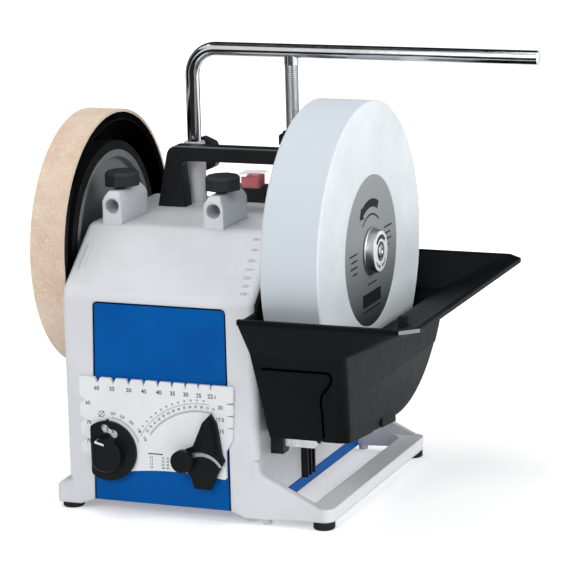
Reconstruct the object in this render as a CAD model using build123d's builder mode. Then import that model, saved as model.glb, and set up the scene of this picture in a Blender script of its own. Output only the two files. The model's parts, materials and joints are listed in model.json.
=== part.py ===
"""Wet sharpening machine with a grindstone and a leather honing wheel on one shaft.

Millimetres, +Z up, the stone at +X and the operator at -Y. Every piece is a
solid of its own, saved as one STEP file in parts/.
"""
import os
from math import atan2, cos, degrees, radians, sin, sqrt, tan
from build123d import *

os.makedirs("parts", exist_ok=True)

# Clearances
RUN = 0.05
BAR_CLEAR = 0.08
SLIDE = 0.3
FIT = 0.4
EDGE = 1.0

# Cast housing
HOUSE_RIGHT = 8.0
HOUSE_W = 171.0
HOUSE_D = 238.0
HOUSE_TOP = 233.0
WALL = 5.0
TOP_FRONT = 62.0
TOP_BACK = 76.0
SLOPE_DROP = 46.0
CREASE_R = 16.0
LEFT_EDGE_R = 4.0
RIGHT_EDGE_R = 7.0

# Base of the housing
FOOT_H = 5.0
FOOT_R = 9.0
FOOT_STEM_R = 4.0
FOOT_STEM_L = 6.0
FOOT_MARGIN = 2.0
SKIRT_REACH = 12.0
SKIRT_H = 36.0
SKIRT_KNEE_H = 23.5
SKIRT_SIDE_H = 15.0
SKIRT_ROUND = 10.0
SKIRT_KNEE_R = 5.0
RAIL_REACH = 62.5
RAIL_W = 19.5
RAIL_H = 11.0
RAIL_LIFT = 2.0
RAIL_ROUND = 9.0
LOOP_ROUND = 16.0
WEB_T = 6.0
WEB_H = 39.0
WEB_ROUND = 10.0
PEG_R = 4.0
PEG_H = 3.0

# Blue sheet panels
PANEL_T = 1.5
PANEL_RECESS = 0.6
PANEL_TOP_DROP = 54.0
PANEL_BOTTOM_H = 5.0
ARCH_RUN = 13.0
POST_LEFT_TOP = 28.0
POST_LEFT_BOTTOM = 23.0
POST_RIGHT = 25.5
LEDGE = 8.0
FLANGE_H = 7.5
PANEL_SCREW_R = 1.5
PANEL_HEAD_R = 3.2
PANEL_HEAD_H = 2.0

# Main shaft and its bearings
SHAFT_Z = 208.0
SHAFT_R = 6.0
BUSH_R = 9.0
BUSH_FLANGE_R = 12.0
BUSH_FLANGE_T = 1.5
BOSS_R = 14.0
BOSS_L = 8.0

# Grindstone
STONE_R = 125.0
STONE_W = 50.0
STONE_GAP = 8.0
STONE_EDGE = 1.5
LABEL_R = 63.0
LABEL_RECESS = 1.0
LABEL_T = 0.6
STONE_FLANGE_R = 28.0
STONE_FLANGE_T = 3.5
STONE_NUT_R = 20.0
STONE_NUT_H = 8.4

# Honing wheel and friction drive
HONE_R = 110.0
HONE_W = 30.5
HONE_GAP = 1.5
LEATHER_T = 2.6
HONE_RIM = 6.4
HONE_WEB = 5.0
HONE_WEB_RECESS = 3.0
HONE_LIP = 2.0
HUB_R = 16.0
HONE_NUT_R = 13.0
HONE_NUT_H = 5.0
TYRE_R = 83.0
TYRE_T = 8.0
DRIVE_W = 16.0
DRIVE_RIM = 7.0
DRIVE_WEB = 6.0

# Motor
MOTOR_R = 45.0
MOTOR_L = 88.0
MOTOR_T = 3.0
MOTOR_BACK_GAP = 11.0
MOTOR_SHAFT_R = 5.3
MOTOR_INSET = 16.0
CAP_T = 9.0
BEARING_R = 15.0
ROTOR_R = 24.0
ROTOR_L = 48.0
AIR_GAP = 0.6
FAN_R = 34.0
FAN_W = 10.0
FAN_T = 2.0
FAN_BLADES = 7
PIN_R = 4.0
PIN_BACK = 15.5
PIN_DROP = 70.5
PIN_SEAT = 2.0
EAR_R = 9.0
EAR_T = 6.0

# Tool-rest sleeves
BAR_R = 6.0
SLEEVE_PITCH = 91.6
SLEEVE_W = 17.5
SLEEVE_L = 52.0
SLEEVE_H = 26.5
SLEEVE_BORE_H = 14.4
SLEEVE_CHAMFER = 4.0
SLEEVE_BEVEL = 4.5
SLEEVE_INSET = 22.2
POST_R = 9.0
POST_DRAFT = 0.7
POST_H = 51.6
POST_Y = 50.0
POST_INSET = 50.4
LOCK_BOSS_R = 6.5
LOCK_BOSS_L = 13.0
LOCK_BOSS_H = 37.5

# Lock knobs
KNOB_R = 15.5
KNOB_H = 12.0
KNOB_NECK_R = 5.0
KNOB_NECK_H = 2.2
KNOB_SIDES = 8
KNOB_EDGE = 2.5
LOCK_SCREW_R = 3.0
LOCK_SCREW_IN = 8.0
LOCK_FROM_FRONT = 22.0
LOCK_TIP = 0.5

# Support bar
BAR_RISE = 132.7
BAR_BEND = 23.0
BAR_END = 197.0
LEG_IN = 28.0
NUT_R = 12.2
NUT_H = 9.5
NUT_COLLAR_R = 9.0
NUT_COLLAR_H = 2.5

# Carrying handle
HANDLE_L = 136.4
HANDLE_H = 53.0
HANDLE_T = 15.0
HANDLE_Y = 25.5
HANDLE_FOOT = 26.0
HANDLE_LEAN = 11.0
HANDLE_NECK = 4.0
HANDLE_BEAM = 13.0
HANDLE_ROUND = 10.0
HANDLE_EDGE = 2.0
GROOVE_W = 2.0
GROOVE_SPACING = 5.0
HANDLE_SCREW_R = 3.0
HANDLE_HEAD_R = 5.5
HANDLE_HEAD_H = 4.0
HANDLE_SCREW_L = 16.0

# Mains switch
SWITCH_W = 32.4
SWITCH_D = 25.0
SWITCH_H = 12.0
SWITCH_Y = 64.0
SWITCH_ROUND = 2.0
SWITCH_OFFSET = 2.0
ROCKER_W = 15.0
ROCKER_D = 17.0
ROCKER_H = 9.5
ROCKER_DEPTH = 6.0
ROCKER_DISH = 2.0
ROCKER_SWING = 1.8
TRUNNION_R = 1.5
TRUNNION_L = 2.0
COVER_T = 1.0
COVER_H = 12.5
COVER_ROUND = 1.5

# Water trough
TROUGH_T = 3.0
TROUGH_W = 79.7
DRUM_GAP = 13.0
CREASE_DROP = 61.0
RIM_DROP = 29.5
LIP_H = 4.0
LIP_OUT = 1.5
FRONT_GAP = 6.0
FRONT_DRAFT = 9.0
TOE_RISE = 6.0
HEEL_Y = 7.0
HEEL_DROP = 5.0
WING = 64.5
FRONT_FLARE = 15.0
BACK_FLARE = 10.0
LOWER_CORNER = 6.0
UPPER_CORNER = 14.0
BACK_CORNER = 2.0
CHEEK_W = 11.7
CHEEK_L = 38.0
EAR_REACH = 4.0
HORN_TOP = 10.0
HORN_GAP = 35.0
SIDE_SINK = 0.8
SIDE_FIELD_TOP = 39.0
SIDE_FIELD_FRONT = 90.0
SIDE_FIELD_LEAN = 45.0
FRONT_SINK = 2.0
FRONT_FIELD = (
    (66.5, -13.0),
    (67.7, -16.0),
    (65.7, -22.0),
    (58.7, -30.0),
    (56.7, -36.5),
    (57.7, -47.0),
)
FRONT_FIELD_ROUND = 2.0
NOTCH_FRONT = 64.0
NOTCH_BACK = 40.0
NOTCH_FRONT_H = 7.0
NOTCH_BACK_H = 12.5
TROUGH_TRAVEL = 20.0

# Brackets under the trough
BLOCK_Y = 83.0
BLOCK_W = 16.0
BLOCK_D = 10.7
BLOCK_H = 18.5
TONGUE_L = 30.5
TONGUE_H = 8.0
TONGUE_T = 5.0
TONGUE_ROOT = 6.0
TONGUE_POINT = 4.5
TONGUE_LIFT = 6.0
TONGUE_SET = 3.0
REST_Y = 15.0
REST_W = 18.0
REST_D = 6.0
REST_BACK = 2.5
REST_RIBS = 3
REST_RIB_T = 2.0
REST_SCREW_R = 1.5
REST_HEAD_R = 2.6
REST_HEAD_H = 1.5
REST_SCREW_Z = 6.0

# Angle gauge
GAUGE_LEFT = 148.6
GAUGE_TOP = 116.0
GAUGE_W = 138.0
GAUGE_H = 79.0
GAUGE_T = 3.0
GAUGE_ROUND = 2.0
GAUGE_LEFT_H = 64.0
GAUGE_CUT_U = 10.6
GAUGE_CUT_V = 69.0
GAUGE_ARCH_U = 38.6
GAUGE_ARCH = 3.5
GAUGE_RIGHT_H = 44.4
GAUGE_LEAN = 2.4
GAUGE_STEP = 8.6
GAUGE_STEP_H = 11.3
VEE_DEPTH = 4.8
TOP_ANGLES = (60, 55, 50, 45, 40, 35, 30, 25, 22.5)
TOP_FIRST = 16.5
TOP_PITCH = 14.6
TOP_CLOSE = 0.24
RIGHT_ANGLES = (20, 17.5, 15)
RIGHT_FIRST = 14.5
RIGHT_PITCH = 10.2
LEFT_ANGLES = (65, 70, 75)
LEFT_FIRST = 20.0
LEFT_PITCH = 16.7
MAGNET_R = 6.0
MAGNET_IN = 2.0
MAGNET_OUT = 0.6
MAGNET_V = 30.0
DIAL_R = 25.3
DIAL_U = 25.1
DIAL_V = 61.5
DIAL_T = 3.2
DIAL_FLAT = 15.1
DIAL_NIB = 1.8
DIAL_ROUND = 4.0
GRIP_R = 14.5
GRIP_DROP = 2.5
GRIP_FLAT = 12.0
GRIP_H = 8.0
GRIP_SLOT_AT = (-3.9, 8.0)
GRIP_SLOT_L = 9.0
GRIP_SLOT_W = 2.2
GRIP_SLOT_TILT = -15.0
WINDOW_SPOTS = ((-2.4, 18.8), (5.6, 14.8))
WINDOW_R = 3.9
WINDOW_NECK = 5.5
GAUGE_PIN_R = 3.0
POINTER_U = 108.2
POINTER_V = 78.4
POINTER_T = 4.2
POINTER_TIP = (10.0, 55.0)
POINTER_TAB_R = 9.0
POINTER_LEFT = (
    (3.0, 47.6),
    (-6.0, 27.0),
    (-13.0, 24.0),
    (-20.0, 17.0),
    (-18.0, 9.0),
    (-9.0, 3.0),
    (-5.4, -8.4),
)
POINTER_RIGHT = (
    (8.3, -8.9),
    (14.3, 3.1),
    (21.3, 16.2),
    (19.0, 21.0),
    (16.3, 40.0),
    (14.8, 47.5),
)
WEDGE_H = 2.4
WEDGE_TAPER = 20.0
WEDGE_FOOT = ((1.0, 25.2), (15.0, 21.2), (12.5, 46.0))
WEDGE_NECK = (4.5, 46.5)
SLOT_R = 20.3
SLOT_START = 35.6
SLOT_SPAN = 94.9
SLOT_CLEAR = 0.3
CLAMP_R = 9.5
CLAMP_H = 9.0
CLAMP_EDGE = 1.2
CLAMP_NECK_R = 3.6
CLAMP_SCREW_R = 2.0

# Mains inlet
GLAND_R = 9.0
GLAND_FLANGE_T = 3.0
GLAND_NOSE_R = 6.5
GLAND_NOSE_L = 11.0
GLAND_BORE_R = 4.0
GLAND_H = 40.0
GLAND_INSET = 14.5

# Places that several pieces share
HALF_D = HOUSE_D / 2
HOUSE_LEFT = HOUSE_RIGHT - HOUSE_W
INNER_LEFT = HOUSE_LEFT + WALL
INNER_RIGHT = HOUSE_RIGHT - WALL
SLOPE_Z = HOUSE_TOP - SLOPE_DROP
RAIL_OUT = HOUSE_RIGHT + RAIL_REACH
RAIL_IN = RAIL_OUT - RAIL_W
RAIL_FOOT = FOOT_H + RAIL_LIFT
RAIL_TOP = RAIL_FOOT + RAIL_H
PLATE_TOP = FOOT_H + FLANGE_H + PANEL_T
WALL_FOOT_Z = PLATE_TOP + FIT
BORE_R = BAR_R + BAR_CLEAR
SLEEVE_XS = [HOUSE_LEFT + SLEEVE_INSET + i * SLEEVE_PITCH for i in (0, 1)]
POST_XS = [HOUSE_LEFT + POST_INSET + i * SLEEVE_PITCH for i in (0, 1)]
SLEEVE_TOP = HOUSE_TOP + SLEEVE_H
SLEEVE_BORE_Z = HOUSE_TOP + SLEEVE_BORE_H
POST_TOP = HOUSE_TOP + POST_H
LOCK_Y = LOCK_FROM_FRONT - TOP_FRONT
LOCK_BOSS_Y = POST_Y + LOCK_BOSS_L
LOCK_BOSS_Z = HOUSE_TOP + LOCK_BOSS_H
MIDDLE_X = sum(POST_XS) / 2
MOTOR_REACH = TYRE_R + SLIDE + MOTOR_SHAFT_R
MOTOR_Y = HALF_D - MOTOR_BACK_GAP - MOTOR_R
MOTOR_Z = SHAFT_Z - sqrt(MOTOR_REACH**2 - MOTOR_Y**2)
PIN_Y = MOTOR_Y + PIN_BACK
PIN_Z = MOTOR_Z - PIN_DROP
STONE_LEFT = HOUSE_RIGHT + STONE_GAP
STONE_RIGHT = STONE_LEFT + STONE_W
LABEL_X = STONE_RIGHT - LABEL_RECESS
HONE_RIGHT = HOUSE_LEFT - HONE_GAP
HONE_LEFT = HONE_RIGHT - HONE_W
HONE_WEB_LEFT = HONE_LEFT + HONE_WEB_RECESS
HONE_HUB_RIGHT = HONE_WEB_LEFT + HONE_WEB + EDGE
GLAND_X = HOUSE_LEFT + GLAND_INSET
FOOT_SPOTS = [
    (x, y)
    for x in (HOUSE_LEFT - SKIRT_REACH + FOOT_R + FOOT_MARGIN, (RAIL_IN + RAIL_OUT) / 2)
    for y in (FOOT_R - HALF_D, HALF_D - FOOT_R)
]
SHAFT_PLANE = Plane(origin=(0, 0, SHAFT_Z), x_dir=(1, 0, 0), z_dir=(0, -1, 0))
SHAFT_AXIS = Axis((0, 0, SHAFT_Z), (1, 0, 0))
MOTOR_PLANE = Plane(origin=(0, MOTOR_Y, MOTOR_Z), x_dir=(1, 0, 0), z_dir=(0, -1, 0))
MOTOR_AXIS = Axis((0, MOTOR_Y, MOTOR_Z), (1, 0, 0))


def save(piece, name):
    """Label one piece and write its STEP file."""
    piece.part.label = name
    export_step(piece.part, f"parts/{name}.step")


def turned(outline, plane=SHAFT_PLANE, axis=SHAFT_AXIS):
    """Piece turned about an axis along X from (x, radius) points."""
    with BuildPart() as piece:
        with BuildSketch(plane):
            with BuildLine():
                Polyline(*outline, close=True)
            make_face()
        revolve(axis=axis)
    return piece


def ring(x_from, x_to, r_in, r_out):
    """Outline of a plain ring for turned()."""
    return [(x_from, r_in), (x_to, r_in), (x_to, r_out), (x_from, r_out)]


def panel_corners(grow, floor):
    """Outline of the sheet panels in XZ, grown on all sides and down to a floor height."""
    top = HOUSE_TOP - PANEL_TOP_DROP + grow
    right = HOUSE_RIGHT - POST_RIGHT + grow
    return [
        (HOUSE_LEFT + POST_LEFT_BOTTOM - grow, floor),
        (right, floor),
        (right, top),
        (HOUSE_LEFT + POST_LEFT_TOP - grow, top),
    ]


def side_profile():
    """Outline of the housing in YZ, from below the floor to the flat top."""
    Polyline(
        (-HALF_D, FOOT_H),
        (-HALF_D, SLOPE_Z),
        (-TOP_FRONT, HOUSE_TOP),
        (TOP_BACK, HOUSE_TOP),
        (HALF_D, SLOPE_Z),
        (HALF_D, FOOT_H),
        close=True,
    )


# Housing
with BuildPart() as housing:
    with BuildSketch(Plane.YZ.offset(HOUSE_LEFT)):
        with BuildLine():
            side_profile()
        make_face()
    extrude(amount=HOUSE_W)
    creases = housing.edges().filter_by(Axis.X).filter_by(lambda e: e.center().Z > FOOT_H + 1)
    fillet(creases, CREASE_R)
    for side, radius in ((0, LEFT_EDGE_R), (-1, RIGHT_EDGE_R)):
        outline = housing.faces().filter_by(Axis.X).sort_by(Axis.X)[side].edges()
        fillet(outline.filter_by(lambda e: e.center().Z > FOOT_H + 1), radius)
    # Hollow inside, open at the bottom
    with BuildSketch(Plane.YZ.offset(INNER_LEFT)):
        with BuildLine():
            side_profile()
        make_face()
        offset(amount=-WALL, kind=Kind.INTERSECTION, mode=Mode.REPLACE)
        with Locations((0, FOOT_H)):
            Rectangle(HOUSE_D - 2 * WALL, 4 * WALL)
    extrude(amount=HOUSE_W - 2 * WALL, mode=Mode.SUBTRACT)
    # Panel windows with a rebate, a ledge and an arch below, front and back
    for side in (1, -1):
        with BuildSketch(Plane.XZ.offset(side * HALF_D)):
            Polygon(*panel_corners(FIT, 0), align=None)
        extrude(amount=-side * (PANEL_RECESS + PANEL_T), mode=Mode.SUBTRACT)
        with BuildSketch(Plane.XZ.offset(side * HALF_D)):
            Polygon(*panel_corners(-LEDGE, 0), align=None)
            Polygon(
                (HOUSE_LEFT + POST_LEFT_BOTTOM - ARCH_RUN, FOOT_H),
                (HOUSE_LEFT + POST_LEFT_BOTTOM, FOOT_H + PANEL_BOTTOM_H),
                (HOUSE_RIGHT - POST_RIGHT, FOOT_H + PANEL_BOTTOM_H),
                (HOUSE_RIGHT - POST_RIGHT + ARCH_RUN, FOOT_H),
                align=None,
            )
        extrude(amount=-side * WALL, mode=Mode.SUBTRACT)
    # Lower edge of the right wall clears the folded bottom plate
    with Locations((HOUSE_RIGHT - WALL / 2, 0, WALL_FOOT_Z / 2)):
        Box(WALL, HOUSE_D - 2 * WEB_T, WALL_FOOT_Z, mode=Mode.SUBTRACT)
    # Bearing bosses and motor pin bosses inside both side walls
    for wall_x, inward in ((HOUSE_LEFT, 1), (HOUSE_RIGHT, -1)):
        for y, z, boss_r, bore_r, depth in (
            (0, SHAFT_Z, BOSS_R, BUSH_R, WALL + BOSS_L),
            (PIN_Y, PIN_Z, EAR_R, PIN_R, PIN_SEAT + BOSS_L),
        ):
            boss_end = Plane.YZ.offset(wall_x + inward * (WALL + BOSS_L))
            with BuildSketch(boss_end):
                with Locations((y, z)):
                    Circle(boss_r)
            extrude(amount=-inward * (BOSS_L + WALL / 2))
            with BuildSketch(boss_end):
                with Locations((y, z)):
                    Circle(bore_r)
            extrude(amount=-inward * depth, mode=Mode.SUBTRACT)
    # Way out for the motor shaft
    with BuildSketch(Plane.YZ.offset(HOUSE_LEFT)):
        with Locations((MOTOR_Y, MOTOR_Z)):
            Circle(MOTOR_SHAFT_R + WALL)
    extrude(amount=WALL, mode=Mode.SUBTRACT)
    # Holes for the support bar, the handle screws, the mains inlet and the screws of rest and panel
    with Locations(*[(x, POST_Y, HOUSE_TOP) for x in POST_XS]):
        Cylinder(BORE_R, 3 * WALL, mode=Mode.SUBTRACT)
    handle_screw_x = HANDLE_L / 2 - HANDLE_FOOT / 2
    with Locations(*[(MIDDLE_X + s * handle_screw_x, HANDLE_Y, HOUSE_TOP) for s in (-1, 1)]):
        Cylinder(HANDLE_SCREW_R, 3 * WALL, mode=Mode.SUBTRACT)
    with BuildSketch(Plane.XZ.offset(-HALF_D)):
        with Locations((GLAND_X, FOOT_H + GLAND_H)):
            Circle(GLAND_NOSE_R)
    extrude(amount=WALL, mode=Mode.SUBTRACT)
    panel_screw_spots = [
        (x, z)
        for x in (HOUSE_LEFT + POST_LEFT_TOP + LEDGE / 2, HOUSE_RIGHT - POST_RIGHT - LEDGE / 2)
        for z in (FOOT_H + PANEL_BOTTOM_H + 2 * LEDGE, HOUSE_TOP - PANEL_TOP_DROP - LEDGE / 2)
    ]
    with BuildSketch(Plane.XZ.offset(-HALF_D)):
        with Locations(*panel_screw_spots):
            Circle(PANEL_SCREW_R)
    extrude(amount=WALL, mode=Mode.SUBTRACT)
    rest_screw_spots = [
        (s * (REST_W - REST_RIB_T) / 4 - REST_Y, WALL_FOOT_Z + REST_SCREW_Z) for s in (-1, 1)
    ]
    with BuildSketch(Plane.YZ.offset(HOUSE_RIGHT)):
        with Locations(*rest_screw_spots):
            Circle(REST_SCREW_R)
    extrude(amount=-WALL, mode=Mode.SUBTRACT)
    # Sockets of the two left feet
    with Locations(*[(x, y, FOOT_H) for x, y in FOOT_SPOTS[:2]]):
        Cylinder(FOOT_STEM_R, 2 * FOOT_STEM_L, mode=Mode.SUBTRACT)
save(housing, "housing")

# Flared skirt under the honing wheel, fitted round the rounded corners of the wall
with BuildPart() as side_skirt:
    with BuildSketch(Plane.XZ.offset(HALF_D)) as skirt_sketch:
        skirt_x = HOUSE_LEFT - SKIRT_REACH
        Polygon(
            (INNER_LEFT, FOOT_H),
            (INNER_LEFT, FOOT_H + SKIRT_H),
            (HOUSE_LEFT, FOOT_H + SKIRT_H),
            (HOUSE_LEFT, FOOT_H + SKIRT_KNEE_H),
            (skirt_x, FOOT_H + SKIRT_SIDE_H),
            (skirt_x, FOOT_H),
            align=None,
        )
        bends = skirt_sketch.vertices().filter_by(lambda v: v.X < INNER_LEFT).sort_by(Axis.Y)[1:3]
        for bend, radius in zip(bends, (SKIRT_KNEE_R, SKIRT_ROUND)):
            fillet(bend, radius)
    extrude(amount=-HOUSE_D)
    upright = side_skirt.faces().filter_by(Axis.Y).edges().filter_by(lambda e: e.center().Z > FOOT_H + EDGE)
    fillet(upright.filter_by(lambda e: e.center().X < HOUSE_LEFT + EDGE), LEFT_EDGE_R)
    add(housing.part, mode=Mode.SUBTRACT)
    with Locations(*[(x, y, FOOT_H) for x, y in FOOT_SPOTS[:2]]):
        Cylinder(FOOT_STEM_R, 2 * FOOT_STEM_L, mode=Mode.SUBTRACT)
save(side_skirt, "side_skirt")

# Loop under the stone: two webs, an outer rail and rounded inner corners
with BuildPart() as base_loop:
    for y_front in (-HALF_D, HALF_D - WEB_T):
        with BuildSketch(Plane.XZ.offset(-y_front)) as web_sketch:
            Polygon(
                (INNER_RIGHT, FOOT_H),
                (HOUSE_RIGHT, FOOT_H),
                (RAIL_IN, RAIL_FOOT),
                (RAIL_OUT - RAIL_ROUND, RAIL_FOOT),
                (RAIL_OUT - RAIL_ROUND, RAIL_TOP),
                (HOUSE_RIGHT, FOOT_H + WEB_H),
                (HOUSE_RIGHT, FOOT_H + WEB_H + WEB_ROUND),
                (INNER_RIGHT, FOOT_H + WEB_H + WEB_ROUND),
                align=None,
            )
            fillet(web_sketch.vertices().sort_by(Axis.Y)[-3], WEB_ROUND)
        extrude(amount=-WEB_T)
    with BuildSketch(Plane.XY.offset(RAIL_FOOT)) as rail:
        with Locations(((RAIL_IN + RAIL_OUT) / 2, 0)):
            Rectangle(RAIL_W, HOUSE_D)
        fillet(rail.vertices().group_by(Axis.X)[-1], RAIL_ROUND)
        for s in (-1, 1):
            corner_y = s * (HALF_D - WEB_T)
            with Locations((RAIL_IN - LOOP_ROUND / 2, corner_y - s * LOOP_ROUND / 2)):
                Rectangle(LOOP_ROUND, LOOP_ROUND)
            with Locations((RAIL_IN - LOOP_ROUND, corner_y - s * LOOP_ROUND)):
                Circle(LOOP_ROUND, mode=Mode.SUBTRACT)
    extrude(amount=RAIL_H)
    for s in (-1, 1):
        with BuildSketch(Plane.XY.offset(FOOT_H - PEG_H)):
            with Locations((HOUSE_RIGHT + PEG_R + EDGE, s * (HALF_D - PEG_R))):
                Circle(PEG_R)
        extrude(amount=PEG_H + EDGE)
    add(housing.part, mode=Mode.SUBTRACT)
    with Locations(*[(x, y, RAIL_FOOT) for x, y in FOOT_SPOTS[2:]]):
        Cylinder(FOOT_STEM_R, 2 * FOOT_STEM_L, mode=Mode.SUBTRACT)
save(base_loop, "base_loop")

# Tool-rest sleeves: two level ones at the front, two upright ones with the bosses of their lock screws
with BuildPart() as tool_sleeves:
    for x in SLEEVE_XS:
        with BuildSketch(Plane.XZ.offset(TOP_FRONT)):
            half = SLEEVE_W / 2
            Polygon(
                (x - half, HOUSE_TOP - WALL / 2),
                (x + half, HOUSE_TOP - WALL / 2),
                (x + half, SLEEVE_TOP - 2 * SLEEVE_CHAMFER),
                (x + half - SLEEVE_CHAMFER, SLEEVE_TOP),
                (x - half + SLEEVE_CHAMFER, SLEEVE_TOP),
                (x - half, SLEEVE_TOP - 2 * SLEEVE_CHAMFER),
                align=None,
            )
        extrude(amount=-SLEEVE_L)
    chamfer(tool_sleeves.edges().filter_by(Axis.X).group_by(Axis.Z)[-1], SLEEVE_BEVEL)
    for x in POST_XS:
        with BuildSketch(Plane.XY.offset(HOUSE_TOP - WALL / 2)):
            with Locations((x, POST_Y)):
                Circle(POST_R + POST_DRAFT)
        with BuildSketch(Plane.XY.offset(POST_TOP)):
            with Locations((x, POST_Y)):
                Circle(POST_R)
        loft()
        with BuildSketch(Plane.XZ.offset(-POST_Y)):
            with Locations((x, LOCK_BOSS_Z)):
                Circle(LOCK_BOSS_R)
        extrude(amount=-LOCK_BOSS_L)
    add(housing.part, mode=Mode.SUBTRACT)
    # Bores of the bar legs and of the lock screws
    for x in SLEEVE_XS:
        with BuildSketch(Plane.XZ.offset(TOP_FRONT)):
            with Locations((x, SLEEVE_BORE_Z)):
                Circle(BORE_R)
        extrude(amount=-SLEEVE_L, mode=Mode.SUBTRACT)
        with BuildSketch(Plane.XY.offset(SLEEVE_TOP)):
            with Locations((x, LOCK_Y)):
                Circle(LOCK_SCREW_R + RUN)
        extrude(amount=SLEEVE_BORE_Z - SLEEVE_TOP, mode=Mode.SUBTRACT)
    for x in POST_XS:
        with BuildSketch(Plane.XZ.offset(-LOCK_BOSS_Y)):
            with Locations((x, LOCK_BOSS_Z)):
                Circle(LOCK_SCREW_R + RUN)
        extrude(amount=LOCK_BOSS_L, mode=Mode.SUBTRACT)
        with BuildSketch(Plane.XY.offset(POST_TOP)):
            with Locations((x, POST_Y)):
                Circle(BORE_R)
        extrude(amount=-POST_H - WALL, mode=Mode.SUBTRACT)
save(tool_sleeves, "tool_sleeves")

# Front and rear panel
for panel_name, side in (("front_panel", 1), ("rear_panel", -1)):
    with BuildPart() as panel:
        with BuildSketch(Plane.XZ.offset(side * (HALF_D - PANEL_RECESS))):
            Polygon(*panel_corners(0, FOOT_H + PANEL_BOTTOM_H), align=None)
        extrude(amount=-side * PANEL_T)
        if side < 0:
            with BuildSketch(Plane.XZ.offset(-HALF_D)):
                with Locations(*panel_screw_spots):
                    Circle(PANEL_SCREW_R)
            extrude(amount=WALL, mode=Mode.SUBTRACT)
    save(panel, panel_name)

# Screws of the rear panel
with BuildPart() as panel_screws:
    with BuildSketch(Plane.XZ.offset(PANEL_RECESS - HALF_D)):
        with Locations(*panel_screw_spots):
            Circle(PANEL_HEAD_R)
    extrude(amount=-PANEL_HEAD_H)
    with BuildSketch(Plane.XZ.offset(PANEL_RECESS - HALF_D)):
        with Locations(*panel_screw_spots):
            Circle(PANEL_SCREW_R)
    extrude(amount=WALL - PANEL_RECESS)
save(panel_screws, "panel_screws")

# Bottom plate, folded down along the stone side
with BuildPart() as bottom_plate:
    plate_right = HOUSE_RIGHT + PANEL_T / 2
    with BuildSketch(Plane.XZ.offset(HALF_D - WEB_T)):
        Polygon(
            (INNER_LEFT, PLATE_TOP - PANEL_T),
            (plate_right - PANEL_T, PLATE_TOP - PANEL_T),
            (plate_right - PANEL_T, FOOT_H),
            (plate_right, FOOT_H),
            (plate_right, PLATE_TOP),
            (INNER_LEFT, PLATE_TOP),
            align=None,
        )
    extrude(amount=2 * WEB_T - HOUSE_D)
save(bottom_plate, "bottom_plate")

# Rubber feet
for number, (x, y) in enumerate(FOOT_SPOTS, start=1):
    foot_top = RAIL_FOOT if x > HOUSE_RIGHT else FOOT_H
    with BuildPart() as foot:
        with BuildSketch(Plane.XY):
            with Locations((x, y)):
                Circle(FOOT_R)
        extrude(amount=foot_top)
        chamfer(foot.edges().group_by(Axis.Z)[0], EDGE)
        with BuildSketch(Plane.XY.offset(foot_top)):
            with Locations((x, y)):
                Circle(FOOT_STEM_R)
        extrude(amount=FOOT_STEM_L)
    save(foot, f"rubber_foot_{number}")

# Bearing bushes of the main shaft
for bush_name, wall_x, inward in (("left_bush", HOUSE_LEFT, 1), ("right_bush", HOUSE_RIGHT, -1)):
    flange_x = wall_x - inward * BUSH_FLANGE_T
    inner_x = wall_x + inward * (WALL + BOSS_L)
    bush = turned([
        (flange_x, SHAFT_R + RUN),
        (inner_x, SHAFT_R + RUN),
        (inner_x, BUSH_R),
        (wall_x, BUSH_R),
        (wall_x, BUSH_FLANGE_R),
        (flange_x, BUSH_FLANGE_R),
    ])
    save(bush, bush_name)

# Main shaft
main_shaft = turned(ring(HONE_WEB_LEFT - HONE_NUT_H + EDGE, LABEL_X + STONE_NUT_H - EDGE, 0, SHAFT_R))
save(main_shaft, "main_shaft")

# Grindstone with a shallow recess for its label
grindstone = turned([
    (STONE_LEFT, SHAFT_R),
    (LABEL_X, SHAFT_R),
    (LABEL_X, LABEL_R),
    (STONE_RIGHT, LABEL_R + LABEL_RECESS / 2),
    (STONE_RIGHT, STONE_R - STONE_EDGE),
    (STONE_RIGHT - STONE_EDGE, STONE_R),
    (STONE_LEFT + STONE_EDGE, STONE_R),
    (STONE_LEFT, STONE_R - STONE_EDGE),
])
save(grindstone, "grindstone")
stone_label = turned(ring(LABEL_X, LABEL_X + LABEL_T, SHAFT_R, LABEL_R))
save(stone_label, "stone_label")

# Flange behind the stone and round nut in front of it
spacer_x = HOUSE_RIGHT + BUSH_FLANGE_T + SLIDE
stone_flange = turned([
    (spacer_x, SHAFT_R),
    (STONE_LEFT, SHAFT_R),
    (STONE_LEFT, STONE_FLANGE_R),
    (STONE_LEFT - STONE_FLANGE_T, STONE_FLANGE_R),
    (STONE_LEFT - STONE_FLANGE_T, BUSH_FLANGE_R),
    (spacer_x, BUSH_FLANGE_R),
])
save(stone_flange, "stone_flange")
nut_x = LABEL_X + LABEL_T
stone_nut = turned([
    (nut_x, SHAFT_R),
    (nut_x + STONE_NUT_H, SHAFT_R),
    (nut_x + STONE_NUT_H, STONE_NUT_R - EDGE),
    (nut_x + STONE_NUT_H - EDGE, STONE_NUT_R),
    (nut_x, STONE_NUT_R),
])
save(stone_nut, "stone_nut")

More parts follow.
